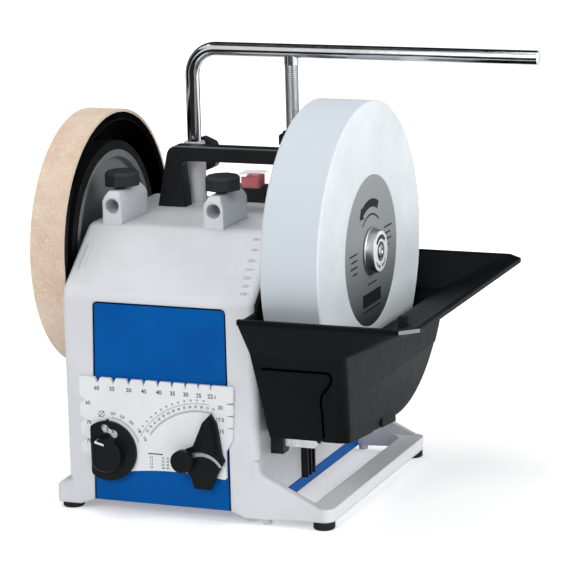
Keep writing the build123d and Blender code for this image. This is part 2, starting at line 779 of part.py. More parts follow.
# Drive wheel with its rubber tyre, keyed to the shaft inside the honing wheel
drive_right = HOUSE_LEFT - BUSH_FLANGE_T - SLIDE
rim_right = HONE_RIGHT - DRIVE_RIM / 2
rim_left = rim_right - DRIVE_W
rim_r = TYRE_R - TYRE_T
web_mid = (rim_left + rim_right) / 2
drive_wheel = turned([
    (HONE_HUB_RIGHT, SHAFT_R),
    (drive_right, SHAFT_R),
    (drive_right, HUB_R),
    (web_mid + DRIVE_WEB / 2, HUB_R + DRIVE_WEB / 2),
    (web_mid + DRIVE_WEB / 2, rim_r - DRIVE_RIM),
    (rim_right, rim_r - DRIVE_RIM + EDGE),
    (rim_right, rim_r),
    (rim_left, rim_r),
    (rim_left, rim_r - DRIVE_RIM + EDGE),
    (web_mid - DRIVE_WEB / 2, rim_r - DRIVE_RIM),
    (web_mid - DRIVE_WEB / 2, HUB_R),
    (HONE_HUB_RIGHT, HUB_R),
])
save(drive_wheel, "drive_wheel")
drive_tyre = turned([
    (rim_left, rim_r),
    (rim_right, rim_r),
    (rim_right, TYRE_R - EDGE),
    (rim_right - EDGE, TYRE_R),
    (rim_left + EDGE, TYRE_R),
    (rim_left, TYRE_R - EDGE),
])
save(drive_tyre, "drive_tyre")

# Honing wheel: a dish open towards the housing, with a leather band
band_r = HONE_R - LEATHER_T
honing_wheel = turned([
    (HONE_WEB_LEFT, SHAFT_R),
    (HONE_HUB_RIGHT, SHAFT_R),
    (HONE_HUB_RIGHT, HUB_R),
    (HONE_WEB_LEFT + HONE_WEB, HUB_R + EDGE),
    (HONE_WEB_LEFT + HONE_WEB, band_r - HONE_RIM),
    (HONE_RIGHT, band_r - HONE_RIM),
    (HONE_RIGHT, band_r),
    (HONE_LEFT, band_r),
    (HONE_LEFT, band_r - HONE_RIM - HONE_LIP),
    (HONE_WEB_LEFT, band_r - HONE_RIM - HONE_LIP - HONE_WEB_RECESS),
])
save(honing_wheel, "honing_wheel")
honing_leather = turned(ring(HONE_LEFT, HONE_RIGHT, band_r, HONE_R))
save(honing_leather, "honing_leather")
honing_nut = turned([
    (HONE_WEB_LEFT, SHAFT_R),
    (HONE_WEB_LEFT, HONE_NUT_R),
    (HONE_WEB_LEFT - HONE_NUT_H + EDGE, HONE_NUT_R),
    (HONE_WEB_LEFT - HONE_NUT_H, HONE_NUT_R - EDGE),
    (HONE_WEB_LEFT - HONE_NUT_H, SHAFT_R),
])
save(honing_nut, "honing_nut")

# Motor: can, windings, end caps and bearings
can_left = INNER_LEFT + MOTOR_INSET
can_right = can_left + MOTOR_L
motor_mid = (can_left + can_right) / 2
stack_left = motor_mid - ROTOR_L / 2
stack_right = motor_mid + ROTOR_L / 2
motor_can = turned(ring(can_left, can_right, MOTOR_R - MOTOR_T, MOTOR_R), MOTOR_PLANE, MOTOR_AXIS)
save(motor_can, "motor_can")
motor_stator = turned(
    ring(stack_left, stack_right, ROTOR_R + AIR_GAP, MOTOR_R - MOTOR_T), MOTOR_PLANE, MOTOR_AXIS
)
save(motor_stator, "motor_stator")
cap_xs = (can_left - CAP_T, can_right)
for group_name, r_in, r_out in (
    ("motor_caps", BEARING_R, MOTOR_R),
    ("motor_bearings", MOTOR_SHAFT_R + RUN, BEARING_R),
):
    with BuildPart() as group:
        for x in cap_xs:
            with BuildSketch(Plane.YZ.offset(x)):
                with Locations((MOTOR_Y, MOTOR_Z)):
                    Circle(r_out)
                    Circle(r_in, mode=Mode.SUBTRACT)
            extrude(amount=CAP_T)
    save(group, group_name)

# Bracket with two ears that hang on the motor pin
with BuildPart() as motor_bracket:
    for x in (can_left + EAR_T, can_right - 2 * EAR_T):
        with BuildSketch(Plane.YZ.offset(x)):
            with BuildLine():
                CenterArc((PIN_Y, PIN_Z), EAR_R, 0, 360)
                CenterArc((MOTOR_Y, MOTOR_Z), MOTOR_R - EAR_R, 0, 360)
            make_hull()
            with Locations((MOTOR_Y, MOTOR_Z)):
                Circle(MOTOR_R, mode=Mode.SUBTRACT)
            with Locations((PIN_Y, PIN_Z)):
                Circle(PIN_R + RUN, mode=Mode.SUBTRACT)
        extrude(amount=EAR_T)
    with Locations((motor_mid, PIN_Y, PIN_Z + EAR_R)):
        Box(MOTOR_L - 3 * EAR_T, EAR_R, EAR_T / 2)
save(motor_bracket, "motor_bracket")
pin_ends = (INNER_LEFT - PIN_SEAT, INNER_RIGHT + PIN_SEAT)
with BuildPart() as motor_pin:
    with BuildSketch(Plane.YZ.offset(pin_ends[0])):
        with Locations((PIN_Y, PIN_Z)):
            Circle(PIN_R)
    extrude(amount=pin_ends[1] - pin_ends[0])
save(motor_pin, "motor_pin")

# Rotor: shaft that drives the tyre, core and cooling fan
fan_x = can_right + CAP_T + FAN_W / 2
motor_shaft = turned(ring(rim_left, fan_x + FAN_W, 0, MOTOR_SHAFT_R), MOTOR_PLANE, MOTOR_AXIS)
save(motor_shaft, "motor_shaft")
rotor_core = turned(ring(stack_left, stack_right, MOTOR_SHAFT_R, ROTOR_R), MOTOR_PLANE, MOTOR_AXIS)
save(rotor_core, "rotor_core")
with BuildPart() as motor_fan:
    fan_hub_r = 2 * MOTOR_SHAFT_R
    with BuildSketch(Plane.YZ.offset(fan_x)):
        with Locations((MOTOR_Y, MOTOR_Z)):
            Circle(FAN_R)
            Circle(MOTOR_SHAFT_R, mode=Mode.SUBTRACT)
    extrude(amount=FAN_T)
    with BuildSketch(Plane.YZ.offset(fan_x)):
        with Locations((MOTOR_Y, MOTOR_Z)):
            Circle(fan_hub_r)
            with PolarLocations((fan_hub_r + FAN_R - FAN_T) / 2, FAN_BLADES):
                Rectangle(FAN_R - fan_hub_r, FAN_T)
            Circle(MOTOR_SHAFT_R, mode=Mode.SUBTRACT)
    extrude(amount=FAN_W)
save(motor_fan, "motor_fan")

# Support bar: one leg bent into the long bar, and the threaded leg under it
bar_z = HOUSE_TOP + BAR_RISE
leg_z = HOUSE_TOP - LEG_IN
with BuildPart() as support_bar:
    with BuildLine(Plane.XZ.offset(-POST_Y)) as bar_path:
        FilletPolyline(
            (POST_XS[0], leg_z), (POST_XS[0], bar_z), (BAR_END, bar_z), radius=BAR_BEND
        )
    with BuildSketch(Plane.XY.offset(leg_z)):
        with Locations((POST_XS[0], POST_Y)):
            Circle(BAR_R)
    sweep(path=bar_path.wires()[0])
    chamfer(support_bar.edges().group_by(Axis.X)[-1], EDGE)
save(support_bar, "support_bar")
with BuildPart() as threaded_leg:
    with BuildSketch(Plane.XY.offset(leg_z)):
        with Locations((POST_XS[1], POST_Y)):
            Circle(BAR_R)
    extrude(amount=bar_z - leg_z)
    with BuildSketch(Plane.YZ.offset(POST_XS[1] - 2 * BAR_R)):
        with Locations((POST_Y, bar_z)):
            Circle(BAR_R)
    extrude(amount=4 * BAR_R, mode=Mode.SUBTRACT)
save(threaded_leg, "threaded_leg")

# Height nut on the threaded leg
with BuildPart() as adjust_nut:
    with BuildSketch(Plane.XY.offset(POST_TOP + SLIDE)):
        with Locations((POST_XS[1], POST_Y)):
            Circle(NUT_R)
    extrude(amount=NUT_H)
    chamfer(adjust_nut.edges(), EDGE)
    with BuildSketch(Plane.XY.offset(POST_TOP + SLIDE + NUT_H)):
        with Locations((POST_XS[1], POST_Y)):
            Circle(NUT_COLLAR_R)
    extrude(amount=NUT_COLLAR_H)
    with BuildSketch(Plane.XY.offset(POST_TOP)):
        with Locations((POST_XS[1], POST_Y)):
            Circle(BAR_R + RUN)
    extrude(amount=NUT_H + NUT_COLLAR_H + EDGE, mode=Mode.SUBTRACT)
save(adjust_nut, "adjust_nut")

# Lock knobs with their screws: two on the horizontal sleeves, two behind the vertical ones
lock_seats = [
    ("front", Plane((x, LOCK_Y, SLEEVE_TOP + SLIDE), x_dir=(1, 0, 0), z_dir=(0, 0, 1)),
     SLEEVE_TOP + SLIDE - SLEEVE_BORE_Z - BORE_R - LOCK_TIP, place)
    for x, place in zip(SLEEVE_XS, ("left", "right"))
] + [
    ("rear", Plane((x, LOCK_BOSS_Y + SLIDE, LOCK_BOSS_Z), x_dir=(1, 0, 0), z_dir=(0, 1, 0)),
     LOCK_BOSS_L + SLIDE - BORE_R - LOCK_TIP, place)
    for x, place in zip(POST_XS, ("left", "right"))
]
for row, seat, reach, place in lock_seats:
    with BuildPart() as knob:
        with BuildSketch(seat):
            Circle(KNOB_NECK_R)
        extrude(amount=KNOB_NECK_H)
        with BuildSketch(seat.offset(KNOB_NECK_H)) as knob_sketch:
            RegularPolygon(KNOB_R, KNOB_SIDES)
            fillet(knob_sketch.vertices(), KNOB_R / 4)
        extrude(amount=KNOB_H)
        chamfer(knob.faces().sort_by(Axis(seat.origin, seat.z_dir))[-1].edges(), KNOB_EDGE)
        with BuildSketch(seat):
            Circle(LOCK_SCREW_R)
        extrude(amount=LOCK_SCREW_IN, mode=Mode.SUBTRACT)
    save(knob, f"{row}_{place}_knob")
    with BuildPart() as lock_screw:
        with BuildSketch(seat.offset(-reach)):
            Circle(LOCK_SCREW_R)
        extrude(amount=reach + LOCK_SCREW_IN)
    save(lock_screw, f"{row}_{place}_screw")

# Carrying handle
with BuildPart() as handle:
    half = HANDLE_L / 2
    beam_z = HOUSE_TOP + HANDLE_H
    with BuildSketch(Plane.XZ.offset(HANDLE_T / 2 - HANDLE_Y)) as handle_sketch:
        with BuildLine():
            outer = FilletPolyline(
                (MIDDLE_X - half, HOUSE_TOP),
                (MIDDLE_X - half + HANDLE_LEAN, beam_z),
                (MIDDLE_X + half - HANDLE_LEAN, beam_z),
                (MIDDLE_X + half, HOUSE_TOP),
                radius=HANDLE_ROUND,
            )
            gap = half - HANDLE_FOOT
            inner = FilletPolyline(
                (MIDDLE_X + gap, HOUSE_TOP),
                (MIDDLE_X + gap + HANDLE_NECK, beam_z - HANDLE_BEAM),
                (MIDDLE_X - gap - HANDLE_NECK, beam_z - HANDLE_BEAM),
                (MIDDLE_X - gap, HOUSE_TOP),
                radius=HANDLE_ROUND / 2,
            )
            Line(outer @ 1, inner @ 0)
            Line(inner @ 1, outer @ 0)
        make_face()
    extrude(amount=-HANDLE_T)
    long_edges = handle.faces().filter_by(Axis.Y).edges()
    chamfer(long_edges.filter_by(lambda e: e.center().Z > HOUSE_TOP + 1), HANDLE_EDGE / 2)
    with Locations(*[(MIDDLE_X, HANDLE_Y + s * GROOVE_SPACING / 2, beam_z) for s in (-1, 1)]):
        Box(HANDLE_L - 2 * HANDLE_FOOT, GROOVE_W, GROOVE_W, mode=Mode.SUBTRACT)
    with Locations(*[(MIDDLE_X + s * handle_screw_x, HANDLE_Y, HOUSE_TOP) for s in (-1, 1)]):
        Cylinder(HANDLE_SCREW_R, 2 * HANDLE_SCREW_L, mode=Mode.SUBTRACT)
save(handle, "handle")
with BuildPart() as handle_screws:
    for s in (-1, 1):
        with BuildSketch(Plane.XY.offset(HOUSE_TOP - WALL)):
            with Locations((MIDDLE_X + s * handle_screw_x, HANDLE_Y)):
                Circle(HANDLE_HEAD_R)
        extrude(amount=-HANDLE_HEAD_H)
        with BuildSketch(Plane.XY.offset(HOUSE_TOP - WALL)):
            with Locations((MIDDLE_X + s * handle_screw_x, HANDLE_Y)):
                Circle(HANDLE_SCREW_R)
        extrude(amount=WALL + HANDLE_SCREW_L)
save(handle_screws, "handle_screws")

# Mains switch: frame, rocker on two trunnions, clear splash cover
switch_x = MIDDLE_X + SWITCH_OFFSET
switch_z = HOUSE_TOP + SWITCH_H
pivot_z = switch_z - TRUNNION_R
well_w = ROCKER_W + 2 * SLIDE
well_d = ROCKER_D + 2 * ROCKER_SWING
with BuildPart() as switch_base:
    with BuildSketch(Plane.XY.offset(HOUSE_TOP)):
        with Locations((switch_x, SWITCH_Y)):
            RectangleRounded(SWITCH_W, SWITCH_D, SWITCH_ROUND)
    extrude(amount=SWITCH_H)
    with BuildSketch(Plane.XY.offset(switch_z)):
        with Locations((switch_x, SWITCH_Y)):
            Rectangle(well_w, well_d)
    extrude(amount=-ROCKER_DEPTH - ROCKER_SWING - EDGE, mode=Mode.SUBTRACT)
    with BuildSketch(Plane.YZ.offset(switch_x - well_w / 2 - TRUNNION_L)):
        with Locations((SWITCH_Y, pivot_z)):
            Circle(TRUNNION_R + RUN)
    extrude(amount=well_w + 2 * TRUNNION_L, mode=Mode.SUBTRACT)
    with Locations((switch_x, SWITCH_Y, pivot_z + TRUNNION_R)):
        Box(well_w + 2 * TRUNNION_L, 2 * (TRUNNION_R + RUN), 2 * TRUNNION_R, mode=Mode.SUBTRACT)
save(switch_base, "switch_base")
with BuildPart() as switch_rocker:
    with BuildSketch(Plane.YZ.offset(switch_x - ROCKER_W / 2)):
        with BuildLine():
            rocker_foot = Polyline(
                (SWITCH_Y + ROCKER_D / 2, switch_z + ROCKER_H),
                (SWITCH_Y + ROCKER_D / 2 - EDGE, switch_z - ROCKER_DEPTH),
                (SWITCH_Y - ROCKER_D / 2 + EDGE, switch_z - ROCKER_DEPTH),
                (SWITCH_Y - ROCKER_D / 2, switch_z + ROCKER_H),
            )
            ThreePointArc(
                rocker_foot @ 1, (SWITCH_Y, switch_z + ROCKER_H - ROCKER_DISH), rocker_foot @ 0
            )
        make_face()
    extrude(amount=ROCKER_W)
    with BuildSketch(Plane.YZ.offset(switch_x - ROCKER_W / 2 - TRUNNION_L)):
        with Locations((SWITCH_Y, pivot_z)):
            Circle(TRUNNION_R)
    extrude(amount=ROCKER_W + 2 * TRUNNION_L)
save(switch_rocker, "switch_rocker")
with BuildPart() as switch_cover:
    cover_w = well_w + 2 * TRUNNION_L + 2 * COVER_T + 2 * SLIDE
    with BuildSketch(Plane.XY.offset(switch_z)):
        with Locations((switch_x, SWITCH_Y)):
            RectangleRounded(cover_w, well_d + 2 * COVER_T, SWITCH_ROUND)
    extrude(amount=COVER_H)
    fillet(switch_cover.edges().group_by(Axis.Z)[-1], COVER_ROUND)
    with BuildSketch(Plane.XY.offset(switch_z)):
        with Locations((switch_x, SWITCH_Y)):
            RectangleRounded(cover_w - 2 * COVER_T, well_d, SWITCH_ROUND - COVER_T)
    extrude(amount=COVER_H - COVER_T, mode=Mode.SUBTRACT)
save(switch_cover, "switch_cover")

# Water trough
trough_left = HOUSE_RIGHT + SLIDE
trough_right = trough_left + TROUGH_W
drum_r = STONE_R + DRUM_GAP
crease_z = SHAFT_Z - CREASE_DROP
rim_z = SHAFT_Z - RIM_DROP
front_y = STONE_R + FRONT_GAP
toe_y = front_y - FRONT_DRAFT
toe_z = SHAFT_Z - drum_r + TOE_RISE
heel_z = SHAFT_Z - drum_r - HEEL_DROP
rim_front = front_y + FRONT_FLARE
rim_back = drum_r + BACK_FLARE
rim_right_x = trough_right + WING
back_y = sqrt(drum_r**2 - CREASE_DROP**2)
CORNER_SHRINK = 2 - sqrt(2)
rim_cuts = (UPPER_CORNER, UPPER_CORNER)


def underside_z(y):
    """Height of the trough's sloping floor at a given y."""
    return toe_z + (heel_z - toe_z) * (y + toe_y) / (toe_y - HEEL_Y)


cheek_y = CHEEK_L - front_y
cheek_ends = [
    Vector(trough_left, -front_y, crease_z),
    Vector(trough_left + CHEEK_W, -toe_y, toe_z),
    Vector(trough_left, cheek_y, underside_z(cheek_y)),
]
cheek_normal = (cheek_ends[1] - cheek_ends[0]).cross(cheek_ends[2] - cheek_ends[0])
CHEEK_PLANE = Plane(cheek_ends[0], z_dir=cheek_normal)
FRONT_WALL = Plane(cheek_ends[0], x_dir=(1, 0, 0), z_dir=(0, toe_z - crease_z, toe_y - front_y))


def drum_point(radius, y):
    """Point of the drum's underside in YZ at a given y."""
    return (y, SHAFT_Z - sqrt(radius**2 - y**2))


def trough_corners(right, front, back, cuts, inset):
    """Trough seen from above, with its two right corners cut off."""
    front_cut, back_cut = [cut - CORNER_SHRINK * inset for cut in cuts]
    left = trough_left + inset
    right = right - inset
    front = inset - front
    back = back - inset
    return [
        (left, front),
        (right - front_cut, front),
        (right, front + front_cut),
        (right, back - back_cut),
        (right - back_cut, back),
        (left, back),
    ]


def trough_volume(inset):
    """Body of the trough and its flared top, shrunk by an inset on every side."""
    radius = drum_r - inset
    floor_y = -HEEL_Y - inset
    body_back = sqrt(radius**2 - (CREASE_DROP - inset) ** 2)
    with BuildPart() as volume:
        with BuildSketch(Plane.YZ.offset(trough_left + inset)):
            with BuildLine():
                belly = ThreePointArc(
                    drum_point(radius, floor_y),
                    drum_point(radius, radius / 2),
                    (body_back, crease_z + inset),
                )
                Polyline(
                    belly @ 1,
                    (inset - front_y, crease_z + inset),
                    (inset - toe_y, toe_z + inset),
                    (floor_y, heel_z + inset),
                    belly @ 0,
                )
            make_face()
        extrude(amount=TROUGH_W - 2 * inset)
        corner = volume.faces().sort_by(Axis.X)[-1].edges().sort_by(Axis.Y)[0]
        chamfer(corner, LOWER_CORNER - CORNER_SHRINK * inset)
        split(bisect_by=CHEEK_PLANE.offset(inset), keep=Keep.TOP)
        crease = trough_corners(trough_right, front_y, back_y, (LOWER_CORNER, BACK_CORNER), inset)
        rim = trough_corners(rim_right_x, rim_front, rim_back, rim_cuts, inset)
        for z, outline in ((crease_z, crease), (rim_z - LIP_H, rim)):
            with BuildSketch(Plane.XY.offset(z + inset)):
                Polygon(*outline, align=None)
        loft(ruled=True)
    return volume.part


with BuildPart() as trough:
    add(trough_volume(0))
    with BuildSketch(Plane.XY.offset(rim_z - LIP_H)):
        lip = (rim_right_x + LIP_OUT, rim_front + LIP_OUT, rim_back + LIP_OUT)
        Polygon(*trough_corners(*lip, rim_cuts, 0), align=None)
    extrude(amount=LIP_H)
    # Ears that widen the flare upwards and reach round the posts
    for s, crease_y, rim_y in ((-1, front_y, rim_front), (1, back_y, rim_back)):
        with BuildSketch(Plane.YZ.offset(trough_left)):
            Polygon(
                (s * crease_y, crease_z),
                (s * rim_y, rim_z - LIP_H),
                (s * (rim_y + LIP_OUT), rim_z - LIP_H),
                (s * (rim_y + LIP_OUT), rim_z),
                (s * (rim_y - TROUGH_T), rim_z),
                (s * (rim_y - TROUGH_T), rim_z - LIP_H),
                (s * (crease_y - TROUGH_T), crease_z),
                align=None,
            )
        extrude(amount=-EAR_REACH)
    with BuildSketch(Plane.XZ.offset(rim_front + 2 * LIP_OUT)):
        Polygon(
            (trough_left - EAR_REACH, rim_z - LIP_H),
            (trough_left, crease_z),
            (trough_left - EAR_REACH, crease_z),
            align=None,
        )
    extrude(amount=-rim_front - rim_back - 4 * LIP_OUT, mode=Mode.SUBTRACT)
    add(trough_volume(TROUGH_T), mode=Mode.SUBTRACT)
    with BuildSketch(Plane.XY.offset(rim_z - LIP_H + TROUGH_T)):
        Polygon(*trough_corners(rim_right_x, rim_front, rim_back, rim_cuts, TROUGH_T), align=None)
    extrude(amount=LIP_H, mode=Mode.SUBTRACT)
    # Tall splash wall beside the housing, open round the shaft
    for s in (-1, 1):
        with BuildSketch(Plane.YZ.offset(trough_left)):
            Polygon(
                (s * HALF_D, rim_z - LIP_H),
                (s * HALF_D, SLOPE_Z - TROUGH_T),
                (s * (TOP_FRONT + HALF_D) / 2, HOUSE_TOP - SLOPE_DROP / 2 - TROUGH_T),
                (s * TOP_FRONT, SHAFT_Z + HORN_TOP),
                (s * HORN_GAP, SHAFT_Z + HORN_TOP),
                (s * HORN_GAP, rim_z - LIP_H),
                align=None,
            )
        extrude(amount=TROUGH_T)
    # Sunken field on the right wall, open at its foot, and a notch in the foot
    with BuildSketch(Plane.YZ.offset(trough_right)):
        field_top = SHAFT_Z - drum_r + SIDE_FIELD_TOP
        Polygon(
            (-SIDE_FIELD_FRONT, field_top),
            (drum_r, field_top),
            (drum_r, heel_z - EDGE),
            (-SIDE_FIELD_FRONT - SIDE_FIELD_LEAN, heel_z - EDGE),
            align=None,
        )
    extrude(amount=-SIDE_SINK, mode=Mode.SUBTRACT)
    with BuildSketch(Plane.YZ.offset(trough_right)):
        Polygon(
            (-NOTCH_FRONT, heel_z - EDGE),
            (-NOTCH_FRONT, heel_z + NOTCH_FRONT_H),
            (-NOTCH_BACK, heel_z + NOTCH_BACK_H),
            (-NOTCH_BACK, heel_z - EDGE),
            align=None,
        )
    extrude(amount=-SIDE_SINK - TROUGH_T / 2, mode=Mode.SUBTRACT)
    # Sunken field on the front wall, open to the left and at its foot
    with BuildSketch(FRONT_WALL):
        with BuildLine():
            field_top = FRONT_FIELD[0][1]
            FilletPolyline(
                (-TROUGH_T, field_top),
                *FRONT_FIELD,
                (FRONT_FIELD[-1][0], -CREASE_DROP - RIM_DROP),
                radius=FRONT_FIELD_ROUND,
            )
            Polyline(
                (FRONT_FIELD[-1][0], -CREASE_DROP - RIM_DROP),
                (-TROUGH_T, -CREASE_DROP - RIM_DROP),
                (-TROUGH_T, field_top),
            )
        make_face()
    extrude(amount=-FRONT_SINK, mode=Mode.SUBTRACT)
save(trough, "trough")

# Block and tongue under the trough, and the ribbed rest on the wall below it
block_z = underside_z(-BLOCK_Y) - BLOCK_H
tongue_z = block_z + TONGUE_LIFT
with BuildPart() as trough_block:
    with BuildSketch(Plane.YZ.offset(trough_left)):
        front_edge = -BLOCK_Y - BLOCK_W / 2
        back_edge = BLOCK_W / 2 - BLOCK_Y
        Polygon(
            (front_edge, block_z),
            (back_edge - TONGUE_POINT, block_z),
            (back_edge, block_z + TONGUE_POINT),
            (back_edge, underside_z(back_edge)),
            (front_edge, underside_z(front_edge)),
            align=None,
        )
    extrude(amount=BLOCK_D)
    socket_y = front_edge + TONGUE_SET + TONGUE_T / 2
    with Locations((trough_left + BLOCK_D, socket_y, tongue_z + TONGUE_H / 2)):
        Box(2 * TONGUE_ROOT, TONGUE_T, TONGUE_H, mode=Mode.SUBTRACT)
save(trough_block, "trough_block")
with BuildPart() as trough_tongue:
    tongue_root_x = trough_left + BLOCK_D - TONGUE_ROOT
    tongue_tip_x = trough_left + BLOCK_D + TONGUE_L
    with BuildSketch(Plane.XZ.offset(-front_edge - TONGUE_SET)):
        Polygon(
            (tongue_root_x, tongue_z),
            (tongue_tip_x - TONGUE_POINT, tongue_z),
            (tongue_tip_x, tongue_z + TONGUE_H / 2),
            (tongue_tip_x - TONGUE_POINT, tongue_z + TONGUE_H),
            (tongue_root_x, tongue_z + TONGUE_H),
            align=None,
        )
    extrude(amount=-TONGUE_T)
save(trough_tongue, "trough_tongue")
rest_top = underside_z(-HEEL_Y) - TROUGH_TRAVEL
with BuildPart() as trough_rest:
    with BuildSketch(Plane.XY.offset(WALL_FOOT_Z)):
        with Locations((HOUSE_RIGHT + REST_BACK / 2, -REST_Y)):
            Rectangle(REST_BACK, REST_W)
        with Locations((HOUSE_RIGHT + REST_D / 2, -REST_Y)):
            with GridLocations(0, (REST_W - REST_RIB_T) / (REST_RIBS - 1), 1, REST_RIBS):
                Rectangle(REST_D, REST_RIB_T)
    extrude(amount=rest_top - WALL_FOOT_Z)
    with BuildSketch(Plane.YZ.offset(HOUSE_RIGHT)):
        with Locations(*rest_screw_spots):
            Circle(REST_SCREW_R)
    extrude(amount=REST_BACK, mode=Mode.SUBTRACT)
save(trough_rest, "trough_rest")
with BuildPart() as rest_screws:
    with BuildSketch(Plane.YZ.offset(HOUSE_RIGHT + REST_BACK)):
        with Locations(*rest_screw_spots):
            Circle(REST_HEAD_R)
    extrude(amount=REST_HEAD_H)
    with BuildSketch(Plane.YZ.offset(INNER_RIGHT)):
        with Locations(*rest_screw_spots):
            Circle(REST_SCREW_R)
    extrude(amount=WALL + REST_BACK)
save(rest_screws, "rest_screws")

# Mains inlet at the back
with BuildPart() as cable_gland:
    with BuildSketch(Plane.XZ.offset(WALL - HALF_D)):
        with Locations((GLAND_X, FOOT_H + GLAND_H)):
            Circle(GLAND_NOSE_R)
    extrude(amount=-WALL - GLAND_NOSE_L)
    with BuildSketch(Plane.XZ.offset(-HALF_D)):
        with Locations((GLAND_X, FOOT_H + GLAND_H)):
            RegularPolygon(GLAND_R, 6)
    extrude(amount=-GLAND_FLANGE_T)
    with BuildSketch(Plane.XZ.offset(WALL - HALF_D)):
        with Locations((GLAND_X, FOOT_H + GLAND_H)):
            Circle(GLAND_BORE_R)
    extrude(amount=-WALL - GLAND_NOSE_L, mode=Mode.SUBTRACT)
save(cable_gland, "cable_gland")

# Angle gauge: plate with V notches, held on the front by magnets
plate_y = HALF_D + SLIDE
GAUGE_PLANE = Plane(origin=(-GAUGE_LEFT, -plate_y, GAUGE_TOP), x_dir=(1, 0, 0), z_dir=(0, -1, 0))
FACE_PLANE = GAUGE_PLANE.offset(GAUGE_T + SLIDE)
DIAL_PLANE = Plane(FACE_PLANE.from_local_coords((DIAL_U, -DIAL_V, 0)), (1, 0, 0), (0, -1, 0))
POINTER_PLANE = Plane(FACE_PLANE.from_local_coords((POINTER_U, -POINTER_V, 0)), (1, 0, 0), (0, -1, 0))
clamp_at = (SLOT_R * cos(radians(SLOT_START + SLOT_SPAN)), SLOT_R * sin(radians(SLOT_START + SLOT_SPAN)))
top_notches = [
    (TOP_FIRST + i * TOP_PITCH - TOP_CLOSE * i * i, angle) for i, angle in enumerate(TOP_ANGLES)
]
magnet_spots = [(GAUGE_W / 2 + s * GAUGE_W / 4, -MAGNET_V) for s in (-1, 1)]
with BuildPart() as gauge_plate:
    with BuildSketch(GAUGE_PLANE) as plate_sketch:
        with BuildLine():
            step_u = GAUGE_W - GAUGE_STEP
            edge = Polyline(
                (GAUGE_ARCH_U, -GAUGE_H),
                (GAUGE_CUT_U, -GAUGE_CUT_V),
                (0, -GAUGE_LEFT_H),
                (0, 0),
                (GAUGE_W, 0),
                (GAUGE_W - GAUGE_LEAN, -GAUGE_RIGHT_H),
                (step_u, -GAUGE_RIGHT_H - GAUGE_STEP_H),
                (step_u, -GAUGE_H),
            )
            ThreePointArc(edge @ 1, ((step_u + GAUGE_ARCH_U) / 2, GAUGE_ARCH - GAUGE_H), edge @ 0)
        make_face()
        fillet(plate_sketch.vertices(), GAUGE_ROUND)
        with Locations((POINTER_U, -POINTER_V)):
            Circle(POINTER_TAB_R)
        for u, angle in top_notches:
            half = VEE_DEPTH * tan(radians(angle / 2))
            Polygon((u - half, 0), (u + half, 0), (u, -VEE_DEPTH), align=None, mode=Mode.SUBTRACT)
        for angles, first, pitch, edge_u, inward in (
            (RIGHT_ANGLES, RIGHT_FIRST, RIGHT_PITCH, GAUGE_W, -1),
            (LEFT_ANGLES, LEFT_FIRST, LEFT_PITCH, 0, 1),
        ):
            for i, angle in enumerate(angles):
                v = -first - i * pitch
                depth = VEE_DEPTH + (GAUGE_LEAN if inward < 0 else 0)
                half = depth * tan(radians(angle / 2))
                apex = (edge_u + inward * depth, v)
                Polygon((edge_u, v - half), (edge_u, v + half), apex, align=None, mode=Mode.SUBTRACT)
        with Locations((DIAL_U, -DIAL_V), (POINTER_U, -POINTER_V)):
            Circle(GAUGE_PIN_R + RUN, mode=Mode.SUBTRACT)
        with Locations((POINTER_U + clamp_at[0], -POINTER_V + clamp_at[1])):
            Circle(CLAMP_SCREW_R + RUN, mode=Mode.SUBTRACT)
    extrude(amount=GAUGE_T)
    with BuildSketch(GAUGE_PLANE):
        with Locations(*magnet_spots):
            Circle(MAGNET_R)
    extrude(amount=MAGNET_IN, mode=Mode.SUBTRACT)
save(gauge_plate, "gauge_plate")
with BuildPart() as gauge_magnets:
    with BuildSketch(GAUGE_PLANE.offset(-MAGNET_OUT)):
        with Locations(*magnet_spots):
            Circle(MAGNET_R)
    extrude(amount=MAGNET_IN + MAGNET_OUT)
save(gauge_magnets, "gauge_magnets")

# Stone-diameter dial with a nib, two windows and a raised grip
with BuildPart() as gauge_dial:
    with BuildSketch(DIAL_PLANE) as dial_sketch:
        Circle(DIAL_R)
        with Locations((-DIAL_FLAT - DIAL_R, 0)):
            Rectangle(2 * DIAL_R, 2 * DIAL_R, mode=Mode.SUBTRACT)
        fillet(dial_sketch.vertices(), DIAL_ROUND)
        nib_z = DIAL_R - DIAL_NIB
        Polygon((-DIAL_NIB, nib_z), (DIAL_NIB, nib_z), (0, DIAL_R + DIAL_NIB), align=None)
        with Locations(*WINDOW_SPOTS):
            Circle(WINDOW_R, mode=Mode.SUBTRACT)
        window_line = Vector(*WINDOW_SPOTS[1]) - Vector(*WINDOW_SPOTS[0])
        with Locations((Vector(*WINDOW_SPOTS[0]) + Vector(*WINDOW_SPOTS[1])) / 2):
            window_tilt = degrees(atan2(window_line.Y, window_line.X))
            Rectangle(window_line.length, WINDOW_NECK, rotation=window_tilt, mode=Mode.SUBTRACT)
    extrude(amount=DIAL_T)
    with BuildSketch(DIAL_PLANE.offset(DIAL_T)) as grip_sketch:
        with Locations((0, -GRIP_DROP)):
            Circle(GRIP_R)
        with Locations((-GRIP_FLAT - GRIP_R, 0)):
            Rectangle(2 * GRIP_R, 3 * GRIP_R, mode=Mode.SUBTRACT)
        fillet(grip_sketch.vertices(), DIAL_ROUND / 2)
    extrude(amount=GRIP_H)
    chamfer(gauge_dial.faces().sort_by(Axis.Y)[0].edges(), DIAL_NIB)
    with BuildSketch(DIAL_PLANE.offset(DIAL_T)):
        with Locations(GRIP_SLOT_AT):
            Rectangle(GRIP_SLOT_L, GRIP_SLOT_W, rotation=GRIP_SLOT_TILT)
    extrude(amount=GRIP_H, mode=Mode.SUBTRACT)
    with BuildSketch(DIAL_PLANE):
        Circle(GAUGE_PIN_R)
    extrude(amount=-GAUGE_T - SLIDE)
save(gauge_dial, "gauge_dial")

